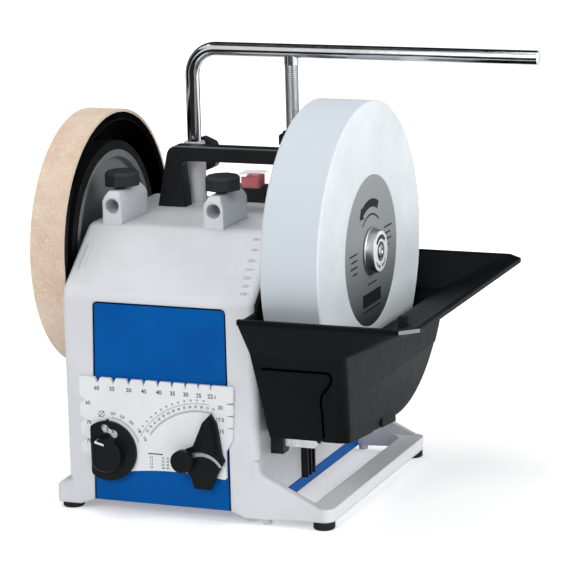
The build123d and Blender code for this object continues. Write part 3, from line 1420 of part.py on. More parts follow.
# Pointer with an arc slot, and the clamp knob whose screw runs in the slot
slot_line = CenterArc((0, 0), SLOT_R, SLOT_START, SLOT_SPAN)
with BuildPart() as gauge_pointer:
    with BuildSketch(POINTER_PLANE):
        with BuildLine():
            Polyline(POINTER_TIP, *POINTER_LEFT, *POINTER_RIGHT, close=True)
        make_face()
        SlotArc(slot_line, 2 * (CLAMP_SCREW_R + SLOT_CLEAR), mode=Mode.SUBTRACT)
    extrude(amount=POINTER_T)
    with BuildSketch(POINTER_PLANE.offset(POINTER_T)):
        Polygon(*WEDGE_FOOT, POINTER_TIP, WEDGE_NECK, align=None)
    extrude(amount=WEDGE_H, taper=WEDGE_TAPER)
    with BuildSketch(POINTER_PLANE):
        Circle(GAUGE_PIN_R)
    extrude(amount=-GAUGE_T - SLIDE)
save(gauge_pointer, "gauge_pointer")
CLAMP_PLANE = Plane(POINTER_PLANE.from_local_coords((*clamp_at, 0)), (1, 0, 0), (0, -1, 0))
with BuildPart() as gauge_clamp:
    with BuildSketch(CLAMP_PLANE.offset(POINTER_T + SLIDE)):
        Circle(CLAMP_NECK_R)
    extrude(amount=CLAMP_H)
    with BuildSketch(CLAMP_PLANE.offset(POINTER_T + SLIDE + WEDGE_H)):
        Circle(CLAMP_R)
    extrude(amount=CLAMP_H - WEDGE_H)
    chamfer(gauge_clamp.faces().sort_by(Axis.Y)[0].edges(), CLAMP_EDGE)
    with BuildSketch(CLAMP_PLANE.offset(POINTER_T + SLIDE)):
        Circle(CLAMP_SCREW_R)
    extrude(amount=-POINTER_T - 2 * SLIDE - GAUGE_T)
save(gauge_clamp, "gauge_clamp")
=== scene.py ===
# %% [markdown]
# # Wet sharpening machine
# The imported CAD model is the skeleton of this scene: it fixes every size, place and joint,
# in metres. This lesson dresses it. First come the camera and the studio, then the finishes,
# then the small things that a solid model leaves out: print, threads, ribs and screw slots.

# %% Load the frame
import json
import math

import bmesh
import bpy
from mathutils import Matrix, Vector


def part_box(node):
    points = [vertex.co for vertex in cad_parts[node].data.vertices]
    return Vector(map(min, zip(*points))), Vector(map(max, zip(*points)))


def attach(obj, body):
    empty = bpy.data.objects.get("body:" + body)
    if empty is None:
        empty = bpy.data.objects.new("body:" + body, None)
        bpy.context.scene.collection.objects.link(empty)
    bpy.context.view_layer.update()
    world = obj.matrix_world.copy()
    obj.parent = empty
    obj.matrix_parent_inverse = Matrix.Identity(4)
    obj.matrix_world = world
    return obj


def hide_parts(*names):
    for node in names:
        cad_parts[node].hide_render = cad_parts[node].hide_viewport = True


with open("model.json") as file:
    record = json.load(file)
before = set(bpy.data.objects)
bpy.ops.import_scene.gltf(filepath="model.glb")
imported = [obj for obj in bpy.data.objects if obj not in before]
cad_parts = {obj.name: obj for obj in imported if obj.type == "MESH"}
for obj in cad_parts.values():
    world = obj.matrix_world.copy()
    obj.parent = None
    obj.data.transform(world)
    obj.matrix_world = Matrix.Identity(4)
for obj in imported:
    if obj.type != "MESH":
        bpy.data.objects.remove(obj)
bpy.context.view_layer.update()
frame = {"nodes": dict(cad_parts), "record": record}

MM = 0.001
TO_METRES = Matrix.Scale(MM, 4)

# %% [markdown]
# ## Camera
# The photograph was taken from the right front, a little above the machine, with a long lens
# that keeps the wheels nearly round. The place, turn and lens below were fitted to the stone,
# taken as 250 mm across, and to the outlines of the honing wheel and the housing.


# %% Camera
def new_object(name, data):
    """Object at the origin that carries a mesh, a text, a lamp or the camera."""
    thing = bpy.data.objects.new(name, data)
    bpy.context.scene.collection.objects.link(thing)
    return thing


CAMERA_PLACE = Vector((0.85368, -2.16808, 0.69537))
CAMERA_TURN = (21.759, 12.595, -1.500)
FOCAL, SENSOR = 178.95, 36
azimuth, elevation, roll = (math.radians(degrees) for degrees in CAMERA_TURN)
back = Vector((
    math.sin(azimuth) * math.cos(elevation),
    -math.cos(azimuth) * math.cos(elevation),
    math.sin(elevation),
))
level = Vector((math.cos(azimuth), math.sin(azimuth), 0))
upright = back.cross(level)
side = level * math.cos(roll) + upright * math.sin(roll)
top = upright * math.cos(roll) - level * math.sin(roll)
lens = bpy.data.cameras.new("camera")
lens.lens = FOCAL
lens.sensor_width = SENSOR
camera = new_object("camera", lens)
camera.matrix_world = Matrix.Translation(CAMERA_PLACE) @ Matrix((side, top, back)).transposed().to_4x4()
bpy.context.scene.camera = camera
print("camera", round(CAMERA_PLACE.length, 2), "m from the origin")

# %% [markdown]
# ## Nodes and colours
# Every material and every Geometry Nodes tree below is wired by one small function. Colours are
# written as the sRGB hex values that a colour picker shows, and turned to linear light here.


# %% Helpers for node trees
def srgb(code):
    """Linear RGBA of an sRGB hex colour."""
    channels = [int(code[i:i + 2], 16) / 255 for i in (1, 3, 5)]
    linear = [c / 12.92 if c <= 0.04045 else ((c + 0.055) / 1.055) ** 2.4 for c in channels]
    return (*linear, 1.0)


def add_node(tree, kind, inputs=None, stops=None, **settings):
    """Add one node. An input is a value or a socket to link; stops fill a colour ramp."""
    node = tree.nodes.new(kind)
    for name, value in settings.items():
        setattr(node, name, value)
    for name, value in (inputs or {}).items():
        if isinstance(value, bpy.types.NodeSocket):
            tree.links.new(value, node.inputs[name])
        else:
            node.inputs[name].default_value = value
    for number, (place, colour) in enumerate(stops or []):
        elements = node.color_ramp.elements
        element = elements[number] if number < len(elements) else elements.new(place)
        element.position = place
        element.color = srgb(colour)
    return node


def per_mm(size):
    """Texture scale whose features are about size millimetres wide."""
    return 1 / (size * MM)


def new_finish(name, **shader):
    """Empty material: returns it with its tree, its shader node and Object coordinates."""
    material = bpy.data.materials.new(name)
    material.use_nodes = True
    tree = material.node_tree
    tree.nodes.clear()
    values = {key.replace("_", " "): value for key, value in shader.items()}
    surface = add_node(tree, "ShaderNodeBsdfPrincipled", values)
    add_node(tree, "ShaderNodeOutputMaterial", {"Surface": surface.outputs[0]})
    place = add_node(tree, "ShaderNodeTexCoord").outputs["Object"]
    return material, tree, surface, place


def mottled(tree, place, size, stops, **noise):
    """Colour that wanders between the stops in clouds about size mm wide."""
    cloud = add_node(tree, "ShaderNodeTexNoise", {"Vector": place, "Scale": per_mm(size), **noise})
    return add_node(tree, "ShaderNodeValToRGB", {"Fac": cloud.outputs[0]}, stops=stops).outputs[0]


print("node helpers ready")

# %% [markdown]
# ## Studio
# The machine stands on a wide white floor under soft light: a strong lamp at the right, a
# weaker one in front and a faint one overhead. The world gives the even light between them.
# Camera, glossy and transmitted rays see plain white there, so the metal shows a white studio.
# The floor brightens with distance until it meets that white, and keeps the shadow in between.


# %% World
def seen_directly(tree):
    """1 for camera, glossy and transmission rays, which look straight at the backdrop, else 0."""
    path = add_node(tree, "ShaderNodeLightPath").outputs
    sees = path["Is Camera Ray"]
    for ray in ("Is Glossy Ray", "Is Transmission Ray"):
        sees = add_node(tree, "ShaderNodeMath", {0: sees, 1: path[ray]}, operation="MAXIMUM").outputs[0]
    return sees


world = bpy.data.worlds.new("studio")
world.use_nodes = True
bpy.context.scene.world = world
sky = world.node_tree
sky.nodes.clear()
even = add_node(sky, "ShaderNodeBackground", {"Color": srgb("#F4F7FA"), "Strength": 0.26})
white = add_node(sky, "ShaderNodeBackground", {"Color": srgb("#FFFFFF"), "Strength": 1.0})
mixed = add_node(sky, "ShaderNodeMixShader", {
    0: seen_directly(sky), 1: even.outputs[0], 2: white.outputs[0],
})
add_node(sky, "ShaderNodeOutputWorld", {"Surface": mixed.outputs[0]})
print("world", world.name)


# %% Floor
def mesh_of(name, points, faces, place=None):
    """Plain mesh from points and faces, moved to its place."""
    mesh = bpy.data.meshes.new(name)
    mesh.from_pydata([tuple(p) for p in points], [], faces)
    mesh.update()
    if place:
        mesh.transform(place)
    return mesh


def stage_sheet(name, points, faces, finish):
    """Sheet of the studio, which is not a part of the machine."""
    mesh = mesh_of(name, points, faces)
    mesh.materials.append(finish)
    sheet = new_object(name, mesh)
    return sheet


floor_paint, tree, surface, place = new_finish(
    "white_studio_paper", Roughness=0.9, Emission_Color=srgb("#FFFFFF"),
)
tone = mottled(tree, place, 400, [(0.3, "#FBFBFB"), (0.7, "#FEFEFE")])
tree.links.new(tone, surface.inputs["Base Color"])
away = add_node(tree, "ShaderNodeVectorMath", {0: place}, operation="LENGTH")
spread = add_node(tree, "ShaderNodeMapRange", {
    "Value": away.outputs["Value"], "From Min": 0.25, "From Max": 1.1,
    "To Min": 0.34, "To Max": 0.85,
})
glow = add_node(tree, "ShaderNodeMath", {
    0: seen_directly(tree), 1: spread.outputs[0],
}, operation="MULTIPLY")
tree.links.new(glow.outputs[0], surface.inputs["Emission Strength"])
FLOOR_REACH = 20
floor_corners = [(x * FLOOR_REACH, y * FLOOR_REACH, 0) for x, y in ((-1, -1), (1, -1), (1, 1), (-1, 1))]
floor = stage_sheet("floor", floor_corners, [(0, 1, 2, 3)], floor_paint)
print("floor", floor.dimensions.x, "m wide")

# %% Lamps
LAMP_AIM = Vector((0, 0, 0.18))
LAMPS = {
    # name: place, size, power in watts
    "right_softbox": ((2.5, -0.1, 1.25), 1.5, 50),
    "front_softbox": ((-0.2, -2.7, 1.7), 1.4, 36),
    "top_softbox": ((-0.7, 0.1, 2.2), 1.2, 15),
}
for name, (spot, size, power) in LAMPS.items():
    light = bpy.data.lights.new(name, "AREA")
    light.size = size
    light.energy = power
    lamp = new_object(name, light)
    lamp.location = spot
    lamp.rotation_euler = (LAMP_AIM - Vector(spot)).to_track_quat("-Z", "Y").to_euler()
print("lamps", list(LAMPS))

# %% [markdown]
# ## Black cards
# A polished bar in an all-white room has no outline. Photographers stand black cards outside the
# picture, and their reflections draw dark lines along the metal. The cards here are seen by
# reflections alone, and neither shade the machine nor show in the picture.


# %% Cards around the machine
def around(centre, radius, angle):
    """Point at a distance and an angle in degrees from a centre."""
    turn = math.radians(angle)
    return (centre[0] + radius * math.cos(turn), centre[1] + radius * math.sin(turn))


def strip_faces(count):
    """Quads of a strip whose points come in pairs, one pair after another."""
    return [(2 * k, 2 * k + 1, 2 * k + 3, 2 * k + 2) for k in range(count)]


CENTRE = (0, 0)
CARD_STEPS = 12
CARDS = {
    # name: start and end angle round the machine, then radius and height in metres of its foot
    # and of its head
    "back_card": (62, 165, (0.80, 0.0), (0.10, 2.2)),
    "left_card": (172, 220, (0.75, 0.0), (0.75, 0.8)),
    "over_card": (120, 235, (0.20, 1.6), (0.95, 1.6)),
    "front_card": (228, 318, (0.44, 0.01), (1.70, 0.33)),
}
card_felt, tree, surface, place = new_finish("black_card", Roughness=0.95, Specular_IOR_Level=0.1)
tone = mottled(tree, place, 30, [(0.3, "#0A0A0B"), (0.7, "#101012")])
tree.links.new(tone, surface.inputs["Base Color"])
for name, (start, end, foot, head) in CARDS.items():
    points = []
    for k in range(CARD_STEPS + 1):
        angle = start + (end - start) * k / CARD_STEPS
        points += [(*around(CENTRE, reach, angle), z) for reach, z in (foot, head)]
    card = stage_sheet(name, points, strip_faces(CARD_STEPS), card_felt)
    for ray in ("camera", "diffuse", "transmission", "shadow", "volume_scatter"):
        setattr(card, "visible_" + ray, False)
print("cards", list(CARDS))

# %% [markdown]
# ## Paints and plastics
# Paint and moulded plastic have the same build: a colour that wanders a little, a fine grain in
# the relief and a gloss that is not quite even. One function makes them all, with the grain's
# width and depth in millimetres. Its Bevel node rounds the look of hard CAD edges, which on a
# casting or a moulding are never knife sharp.


# %% Uneven gloss and relief
def uneven_gloss(tree, surface, place, size, detail, gloss):
    """Roughness that wanders from its least to its most in patches about size mm wide."""
    smear = add_node(tree, "ShaderNodeTexNoise", {
        "Vector": place, "Scale": per_mm(size), "Detail": detail,
    })
    shine = add_node(tree, "ShaderNodeMapRange", {
        "Value": smear.outputs[0], "From Min": 0.3, "From Max": 0.7,
        "To Min": gloss[0], "To Max": gloss[1],
    })
    tree.links.new(shine.outputs[0], surface.inputs["Roughness"])


def soft_relief(tree, surface, height, depth, strength, edge):
    """Relief depth mm deep from a texture, on edges that look rounded by edge mm."""
    rounded = add_node(tree, "ShaderNodeBevel", {"Radius": edge * MM}, samples=4)
    relief = add_node(tree, "ShaderNodeBump", {
        "Height": height, "Distance": depth * MM, "Strength": strength, "Normal": rounded.outputs[0],
    })
    tree.links.new(relief.outputs[0], surface.inputs["Normal"])


print("gloss and relief ready")


# %% Moulded and painted finishes
def moulded(name, dark, light, gloss, grain, depth, edge=0.6, specular=0.5):
    """Paint or plastic. gloss is the least and most roughness; grain, depth and edge are in mm."""
    material, tree, surface, place = new_finish(name, Specular_IOR_Level=specular)
    tint = mottled(tree, place, 35, [(0.35, dark), (0.65, light)], Detail=4)
    tree.links.new(tint, surface.inputs["Base Color"])
    uneven_gloss(tree, surface, place, 9, 5, gloss)
    skin = add_node(tree, "ShaderNodeTexNoise", {"Vector": place, "Scale": per_mm(grain), "Detail": 2})
    soft_relief(tree, surface, skin.outputs[0], depth, 0.5, edge)
    return material


# Stove enamel sprayed on a light-alloy casting: smooth, pale, with a faint orange peel
silver_enamel = moulded("silver_grey_enamel", "#DADCE0", "#DFE1E5", (0.38, 0.46), 1.6, 0.03, 2.2, 0.35)
# Powder coat on sheet steel: strong blue, slightly pebbled
blue_coat = moulded("blue_powder_coat", "#0054A0", "#005BAA", (0.36, 0.44), 0.9, 0.03, 0.3, 0.06)
# Moulded ABS with a spark-eroded grain: nearly black, scatters the light softly
black_abs = moulded("black_grained_abs", "#151618", "#1B1C1E", (0.38, 0.50), 0.8, 0.05, 1.2, 0.24)
# The same plastic, a little softer on the knobs and painted lighter there, a painted light for the
# lamps on their tops; painted darker on the gauge, a painted shade against the sheen on its face
lit_knob_abs = moulded("black_abs_painted_light", "#242527", "#2B2C2E", (0.40, 0.52), 0.8, 0.05, 1.2, 0.3)
shaded_gauge_abs = moulded("black_abs_painted_shade", "#0D0E11", "#121316", (0.40, 0.50), 0.6, 0.03, 0.8, 0.12)
# Polypropylene from a polished mould: dark and even, with a waxy shine where the light grazes it
trough_pp = moulded("dark_polypropylene", "#090B0E", "#0C0E12", (0.50, 0.56), 1.2, 0.01, 2.0, 0.08)
# Glass-filled nylon of the honing wheel: black with a wet-looking gloss
gloss_nylon = moulded("black_glossy_nylon", "#040303", "#070606", (0.22, 0.30), 1.4, 0.02, 0.8, 0.05)
# Grey nylon of the drive wheel: plain and satin
grey_nylon = moulded("grey_nylon", "#7C7D80", "#858689", (0.44, 0.54), 1.2, 0.03, 1.0, 0.2)
# White ABS plate of the gauge, satin so that its print can be read
white_abs = moulded("white_satin_abs", "#E9EBEE", "#EEF0F2", (0.30, 0.38), 1.0, 0.02, 0.4, 0.3)
# Red polycarbonate of the rocker: saturated and glossy
red_pc = moulded("red_polycarbonate", "#F83A40", "#FF464A", (0.14, 0.20), 1.0, 0.01, 0.4)
# Moulded rubber: black with a dusty bloom
foot_rubber = moulded("black_rubber", "#161718", "#1E1F20", (0.66, 0.82), 0.7, 0.08, 0.8, 0.2)
tyre_rubber = moulded("dark_drive_rubber", "#0F1010", "#161717", (0.60, 0.78), 0.6, 0.08, 1.0, 0.15)
# Baked lacquer on the motor's steel shell: dark and slightly glossy
motor_lacquer = moulded("motor_lacquer", "#2A2B2D", "#323335", (0.36, 0.46), 1.2, 0.05)
print("moulded finishes from", silver_enamel.name, "to", motor_lacquer.name)

# %% [markdown]
# ## Metals
# Bright metal is told by its reflections, so its colour is plain and its relief does the work.
# Turned parts carry fine rings from the tool, and plated screws are a little cloudy. The rings
# are a wave texture along the turning axis.

# %% Metal finishes
METAL_EDGE = 0.3
WAVE_RATE = 20


def turned_metal(name, colour, gloss, spacing, depth, axis):
    """Machined metal with tool marks across the X, Y or Z axis; spacing and depth are in mm."""
    material, tree, surface, place = new_finish(name, Metallic=1.0, Base_Color=srgb(colour))
    # A wave texture turns by 20 radians in a unit of its scale. A whole wave is then about six
    # times spacing wide: real marks are too fine to show, so they are drawn that coarse
    marks = add_node(tree, "ShaderNodeTexWave", {
        "Vector": place, "Scale": per_mm(spacing) / WAVE_RATE, "Distortion": 1.5, "Detail": 2,
    }, bands_direction=axis)
    uneven_gloss(tree, surface, place, 6, 4, gloss)
    soft_relief(tree, surface, marks.outputs[0], depth, 0.3, METAL_EDGE)
    return material


# Centreless-ground stainless bar, polished: mirror bright with a trace of haze
bar_stainless = turned_metal("polished_stainless", "#C9CBCD", (0.08, 0.14), 0.8, 0.004, "X")
# The same steel with a rolled thread: bright, with a softer shine
thread_stainless = turned_metal("rolled_thread_stainless", "#BFC1C3", (0.16, 0.26), 0.8, 0.004, "Z")
# Turned stainless of the stone's nut, with rings that show as a soft glow
nut_stainless = turned_metal("turned_stainless", "#A8AAAC", (0.36, 0.44), 0.5, 0.001, "X")
# Rolled stainless strip of the trough's tongue: satin, with its grain along the strip
strip_stainless = turned_metal("satin_stainless_strip", "#C2C3C5", (0.24, 0.32), 0.6, 0.004, "Z")
# Zinc plating over steel: cool grey, cloudy
zinc_plate = turned_metal("zinc_plated_steel", "#B4B7BA", (0.28, 0.42), 0.7, 0.010, "Z")
# Sintered bronze of the bearing bushes: brown and dull
bush_bronze = turned_metal("sintered_bronze", "#A88A58", (0.34, 0.46), 0.5, 0.015, "X")
# Cast aluminium end caps of the motor: pale and matt
cap_alloy = turned_metal("cast_aluminium", "#A9ABAD", (0.40, 0.55), 1.4, 0.030, "X")
# Stack of varnished steel sheets, half a millimetre each: dark with fine lines
core_sheets = turned_metal("laminated_core_steel", "#6A6B6D", (0.38, 0.50), 0.5, 0.060, "X")
print("metal finishes from", bar_stainless.name, "to", core_sheets.name)

# %% [markdown]
# ## Stone, leather, label and clear cover
# Four surfaces need their own recipe. The ceramic-bonded stone is a pale mass of grit with a few
# dark grains, and its rim is painted a little darker than its faces as painted shade. The leather
# band shows its napped side, mottled from tan to rose, and is plain where the cut edge is bare.
# The printed label is grey above and painted darker towards its foot as painted shade. The splash
# cover is clear plastic, so thin that light goes straight through it; its flat top is painted half
# opaque white as a painted reflection of the lamps.

# %% Grindstone
stone_grit, tree, surface, place = new_finish(
    "ceramic_bonded_grit", Roughness=0.92, Specular_IOR_Level=0.25,
)
# Grit of a fine stone is 0.06 mm wide; it is drawn at 0.7 mm so that it shows
grit = add_node(tree, "ShaderNodeTexVoronoi", {"Vector": place, "Scale": per_mm(0.7)})
bond = add_node(tree, "ShaderNodeValToRGB", {"Fac": grit.outputs["Color"]}, stops=[
    (0.0, "#D6DCE0"), (0.12, "#E0E5E8"), (0.6, "#E5EAEC"), (1.0, "#EBEFF1"),
])
stain = mottled(tree, place, 60, [(0.35, "#F1F4F6"), (0.7, "#FFFFFF")], Detail=5)
body = add_node(tree, "ShaderNodeMix", {
    0: 1.0, 6: bond.outputs[0], 7: stain,
}, data_type="RGBA", blend_type="MULTIPLY")
# The rim is painted a little darker than the faces: a painted shade
stone_low, stone_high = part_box("grindstone")
stone_r = (stone_high.z - stone_low.z) / 2
stone_axis = (0, 0, (stone_low.z + stone_high.z) / 2)
from_axis = add_node(tree, "ShaderNodeVectorMath", {0: place, 1: stone_axis}, operation="SUBTRACT")
across = add_node(tree, "ShaderNodeVectorMath", {
    0: from_axis.outputs[0], 1: (0, 1, 1),
}, operation="MULTIPLY")
reach = add_node(tree, "ShaderNodeVectorMath", {0: across.outputs[0]}, operation="LENGTH")
rim_shade_mask = add_node(tree, "ShaderNodeMapRange", {
    "Value": reach.outputs["Value"], "From Min": stone_r - 1.2 * MM, "From Max": stone_r - 0.6 * MM,
})
rim_painted_shade = add_node(tree, "ShaderNodeMix", {
    0: rim_shade_mask.outputs[0], 6: body.outputs[2], 7: srgb("#D3DBE1"),
}, data_type="RGBA")
tree.links.new(rim_painted_shade.outputs[2], surface.inputs["Base Color"])
soft_relief(tree, surface, grit.outputs["Distance"], 0.12, 0.35, 0.8)
print("stone finish", stone_grit.name)

# %% Honing leather
nap_leather, tree, surface, place = new_finish(
    "napped_vegetable_tanned_leather",
    Roughness=0.95, Specular_IOR_Level=0.2, Sheen_Weight=0.15, Sheen_Roughness=0.6,
)
tan = mottled(tree, place, 26, [
    (0.30, "#D6B9A1"), (0.50, "#DFC6B0"), (0.72, "#E8D3BF"),
], Detail=6, Roughness=0.62)
fibre = add_node(tree, "ShaderNodeTexNoise", {
    "Vector": place, "Scale": per_mm(2.2), "Detail": 3, "Roughness": 0.6, "Distortion": 0.8,
})
raised = add_node(tree, "ShaderNodeMapRange", {
    "Value": fibre.outputs[0], "From Min": 0.50, "From Max": 0.68, "To Max": 0.55,
})
hide_tone = add_node(tree, "ShaderNodeMix", {
    0: raised.outputs[0], 6: tan, 7: srgb("#F3E6D8"),
}, data_type="RGBA")
# The cut edge beside the wheel is bare and plain
along = add_node(tree, "ShaderNodeSeparateXYZ", {0: place}).outputs["X"]
band_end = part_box("honing_leather")[1].x
cut = add_node(tree, "ShaderNodeMapRange", {
    "Value": along, "From Min": band_end - 0.5 * MM, "From Max": band_end - 0.3 * MM,
})
edged = add_node(tree, "ShaderNodeMix", {
    0: cut.outputs[0], 6: hide_tone.outputs[2], 7: srgb("#DCC9B5"),
}, data_type="RGBA")
tree.links.new(edged.outputs[2], surface.inputs["Base Color"])
nap = add_node(tree, "ShaderNodeBump", {
    "Height": fibre.outputs[0], "Distance": 0.25 * MM, "Strength": 0.6,
})
tree.links.new(nap.outputs[0], surface.inputs["Normal"])
print("leather finish", nap_leather.name)

# %% Label of the stone
label_low, label_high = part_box("stone_label")
label_paper, tree, surface, place = new_finish(
    "printed_label_card", Roughness=0.5, Specular_IOR_Level=0.4,
)
height = add_node(tree, "ShaderNodeSeparateXYZ", {0: place}).outputs["Z"]
shade_height = add_node(tree, "ShaderNodeMapRange", {
    "Value": height, "From Min": label_low.z, "From Max": label_high.z,
})
# The printed grey is painted darker towards the label's foot: a painted shade
ink = add_node(tree, "ShaderNodeValToRGB", {"Fac": shade_height.outputs[0]}, stops=[
    (0.0, "#2C3033"), (0.1, "#42474A"), (0.28, "#72777A"), (0.55, "#8C9194"), (1.0, "#95999C"),
])
speck = mottled(tree, place, 0.8, [(0.3, "#F0F0F0"), (0.7, "#FFFFFF")], Detail=3)
print_tone = add_node(tree, "ShaderNodeMix", {
    0: 1.0, 6: ink.outputs[0], 7: speck,
}, data_type="RGBA", blend_type="MULTIPLY")
tree.links.new(print_tone.outputs[2], surface.inputs["Base Color"])
print("label finish", label_paper.name)

# %% Clear cover
clear_pc, tree, surface, place = new_finish("clear_polycarbonate", Base_Color=srgb("#F6F8F9"), IOR=1.58)
film = add_node(tree, "ShaderNodeTexNoise", {"Vector": place, "Scale": per_mm(5), "Detail": 4})
haze = add_node(tree, "ShaderNodeMapRange", {"Value": film.outputs[0], "To Min": 0.02, "To Max": 0.09})
tree.links.new(haze.outputs[0], surface.inputs["Roughness"])
# Its flat top is painted half opaque white: a painted reflection of the lamps over it
height = add_node(tree, "ShaderNodeSeparateXYZ", {0: place}).outputs["Z"]
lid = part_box("switch_cover")[1].z
top_painted_reflection = add_node(tree, "ShaderNodeMapRange", {
    "Value": height, "From Min": lid - 0.9 * MM, "From Max": lid - 0.5 * MM,
    "To Min": 0.10, "To Max": 0.50,
})
tree.links.new(top_painted_reflection.outputs[0], surface.inputs["Alpha"])
print("cover finish", clear_pc.name)


# %% Printing inks
def printing_ink(name, thin, full, **shader):
    """Screen-printed ink: flat, and a little uneven where it is thin."""
    material, tree, surface, place = new_finish(name, Roughness=0.55, **shader)
    tint = mottled(tree, place, 0.6, [(0.25, thin), (0.5, full)], Detail=2)
    tree.links.new(tint, surface.inputs["Base Color"])
    return material


black_ink = printing_ink("black_screen_print", "#2C2C2E", "#1A1A1C")
grey_ink = printing_ink("grey_screen_print", "#A4A6AB", "#8D9096")
white_ink = printing_ink("white_screen_print", "#E8E8E8", "#F6F6F6")
print("inks", black_ink.name, grey_ink.name, white_ink.name)

# %% [markdown]
# ## Dress the CAD nodes
# The record names a material slot for each node. A table turns each slot into a finish, and a
# few nodes that share a slot but not a look get their own.

# %% Finish for each node
FINISHES = {
    "silver_paint": silver_enamel,
    "blue_paint": blue_coat,
    "stone": stone_grit,
    "label": label_paper,
    "leather": nap_leather,
    "black_plastic": black_abs,
    "trough_plastic": trough_pp,
    "grey_plastic": grey_nylon,
    "white_plastic": white_abs,
    "red_plastic": red_pc,
    "clear_plastic": clear_pc,
    "drive_rubber": tyre_rubber,
    "foot_rubber": foot_rubber,
    "stainless": bar_stainless,
    "zinc_screw": zinc_plate,
    "bronze": bush_bronze,
    "motor_steel": motor_lacquer,
    "motor_alloy": cap_alloy,
    "core_steel": core_sheets,
}
OWN_LOOK = {"stone_flange": nut_stainless, "trough_tongue": strip_stainless}
KNOBS = ("front_left_knob", "front_right_knob", "rear_left_knob", "rear_right_knob")
OWN_LOOK.update(dict.fromkeys(KNOBS, lit_knob_abs))
OWN_LOOK.update(dict.fromkeys(("honing_wheel", "honing_nut"), gloss_nylon))
OWN_LOOK.update(dict.fromkeys(("gauge_dial", "gauge_pointer", "gauge_clamp"), shaded_gauge_abs))
for part in frame["record"]["subparts"]:
    finish = OWN_LOOK.get(part["node"], FINISHES[part["material_slot"]])
    for slot in frame["nodes"][part["node"]].material_slots:
        slot.material = finish

# %% [markdown]
# ## Making pieces
# A new piece keeps its object at the origin and its place in its mesh, like the CAD nodes. These
# helpers turn an object or a bmesh into a plain mesh, place a flat drawing on the machine, and
# hand the finished piece to the frame.


# %% Helpers for pieces
def add_piece(name, mesh, body, finish=None, hides=()):
    """Put a finished mesh in the scene, on its body and the nodes it replaces."""
    if finish:
        mesh.materials.clear()
        mesh.materials.append(finish)
    piece = new_object(name, mesh)
    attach(piece, body)
    if hides:
        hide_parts(*hides)
    print(name, len(mesh.polygons), "faces on", body)
    return piece


def plain_mesh(name, holder):
    """Mesh of an object with its modifiers applied; the object itself goes away."""
    graph = bpy.context.evaluated_depsgraph_get()
    mesh = bpy.data.meshes.new_from_object(holder.evaluated_get(graph))
    mesh.name = name
    bpy.data.objects.remove(holder)
    return mesh


def mesh_from(shape, name):
    """Plain mesh from a bmesh, which is freed."""
    mesh = bpy.data.meshes.new(name)
    shape.to_mesh(mesh)
    shape.free()
    return mesh


def onto(origin, across, up):
    """Matrix from a flat drawing (across, up, out) to its place on the machine."""
    across = Vector(across).normalized()
    up = Vector(up).normalized()
    out = across.cross(up)
    return Matrix.Translation(origin) @ Matrix((across, up, out)).transposed().to_4x4()


print("piece helpers ready")

# %% [markdown]
# ## One casting
# The frame, its sleeves, the skirt and the base loop are a single light-alloy casting, which the
# CAD keeps as four nodes. Left apart, their joints would show as hairlines, so Boolean modifiers
# join copies of the four. Forms too slight for the solid model are cast in with them: a shallow
# raised field on the slope, an oval bead beside it, fillets at the base loop and the round
# corners of the panel openings. Weighted normals keep the flat walls flat.

# %% Copies of the casting's nodes
MERGE_MM, FLAT_ANGLE = 0.002, 0.0005


def solid_copy(node):
    """Object with a copy of a CAD node whose loose triangles are merged."""
    shape = bmesh.new()
    shape.from_mesh(frame["nodes"][node].data)
    bmesh.ops.remove_doubles(shape, verts=shape.verts, dist=MERGE_MM * MM)
    bmesh.ops.dissolve_limit(shape, angle_limit=FLAT_ANGLE, verts=shape.verts, edges=shape.edges)
    return new_object(node + "_copy", mesh_from(shape, node))


CASTING = ("housing", "side_skirt", "base_loop", "tool_sleeves")
cast_parts = [solid_copy(node) for node in CASTING]
print("casting copies", [len(part.data.polygons) for part in cast_parts])


# %% Raised field and bead on the slope
def stacked_solid(name, points, count, place, mirrored=False, triangles=False):
    """Mesh of a closed solid whose points are loops of count, one above another.

    The faces of a mirrored solid are turned round; triangles splits them all.
    """
    last = len(points) - count
    faces = [tuple(reversed(range(count))), tuple(range(last, len(points)))]
    for k in range(count):
        after = (k + 1) % count
        for low in range(0, last, count):
            faces.append((k + low, after + low, after + low + count, k + low + count))
    if mirrored:
        faces = [face[::-1] for face in faces]
    shape = bmesh.new()
    shape.from_mesh(mesh_of(name, points, faces, place))
    if triangles:
        bmesh.ops.triangulate(shape, faces=shape.faces)
    bmesh.ops.recalc_face_normals(shape, faces=shape.faces)
    return mesh_from(shape, name)


SLOPE_FOOT, SLOPE_UP = Vector((0, -119, 187)), Vector((0, 57, 46))
slope = onto(SLOPE_FOOT * MM, (1, 0, 0), SLOPE_UP)
PAD_ROOT = -2


def slope_pad(outline, rise, run):
    """Shallow pad on the slope: its outline in mm, drawn in by run at the top."""
    middle = sum((Vector(p) for p in outline), Vector((0, 0))) / len(outline)
    inner = [Vector(p) + (middle - Vector(p)).normalized() * run for p in outline]
    points = [(*p, z) for loop, z in ((outline, PAD_ROOT), (outline, 0), (inner, rise)) for p in loop]
    return new_object("slope_pad", stacked_solid("slope_pad", points, len(outline), slope @ TO_METRES))


FIELD = [(-138, 5), (-14, 5), (-14, 66), (-146, 66)]
cast_parts.append(slope_pad(FIELD, rise=0.7, run=3.5))
BEAD_X, BEAD_ENDS, BEAD_R, BEAD_STEPS = -152.8, (50, 24), 2.6, 24
bead = []
for k in range(BEAD_STEPS):
    end = BEAD_ENDS[0] if k <= BEAD_STEPS / 2 else BEAD_ENDS[1]
    bead.append(around((BEAD_X, end), BEAD_R, 360 * k / BEAD_STEPS))
cast_parts.append(slope_pad(bead, rise=0.8, run=1.2))
print("field and bead", [len(part.data.polygons) for part in cast_parts[-2:]])

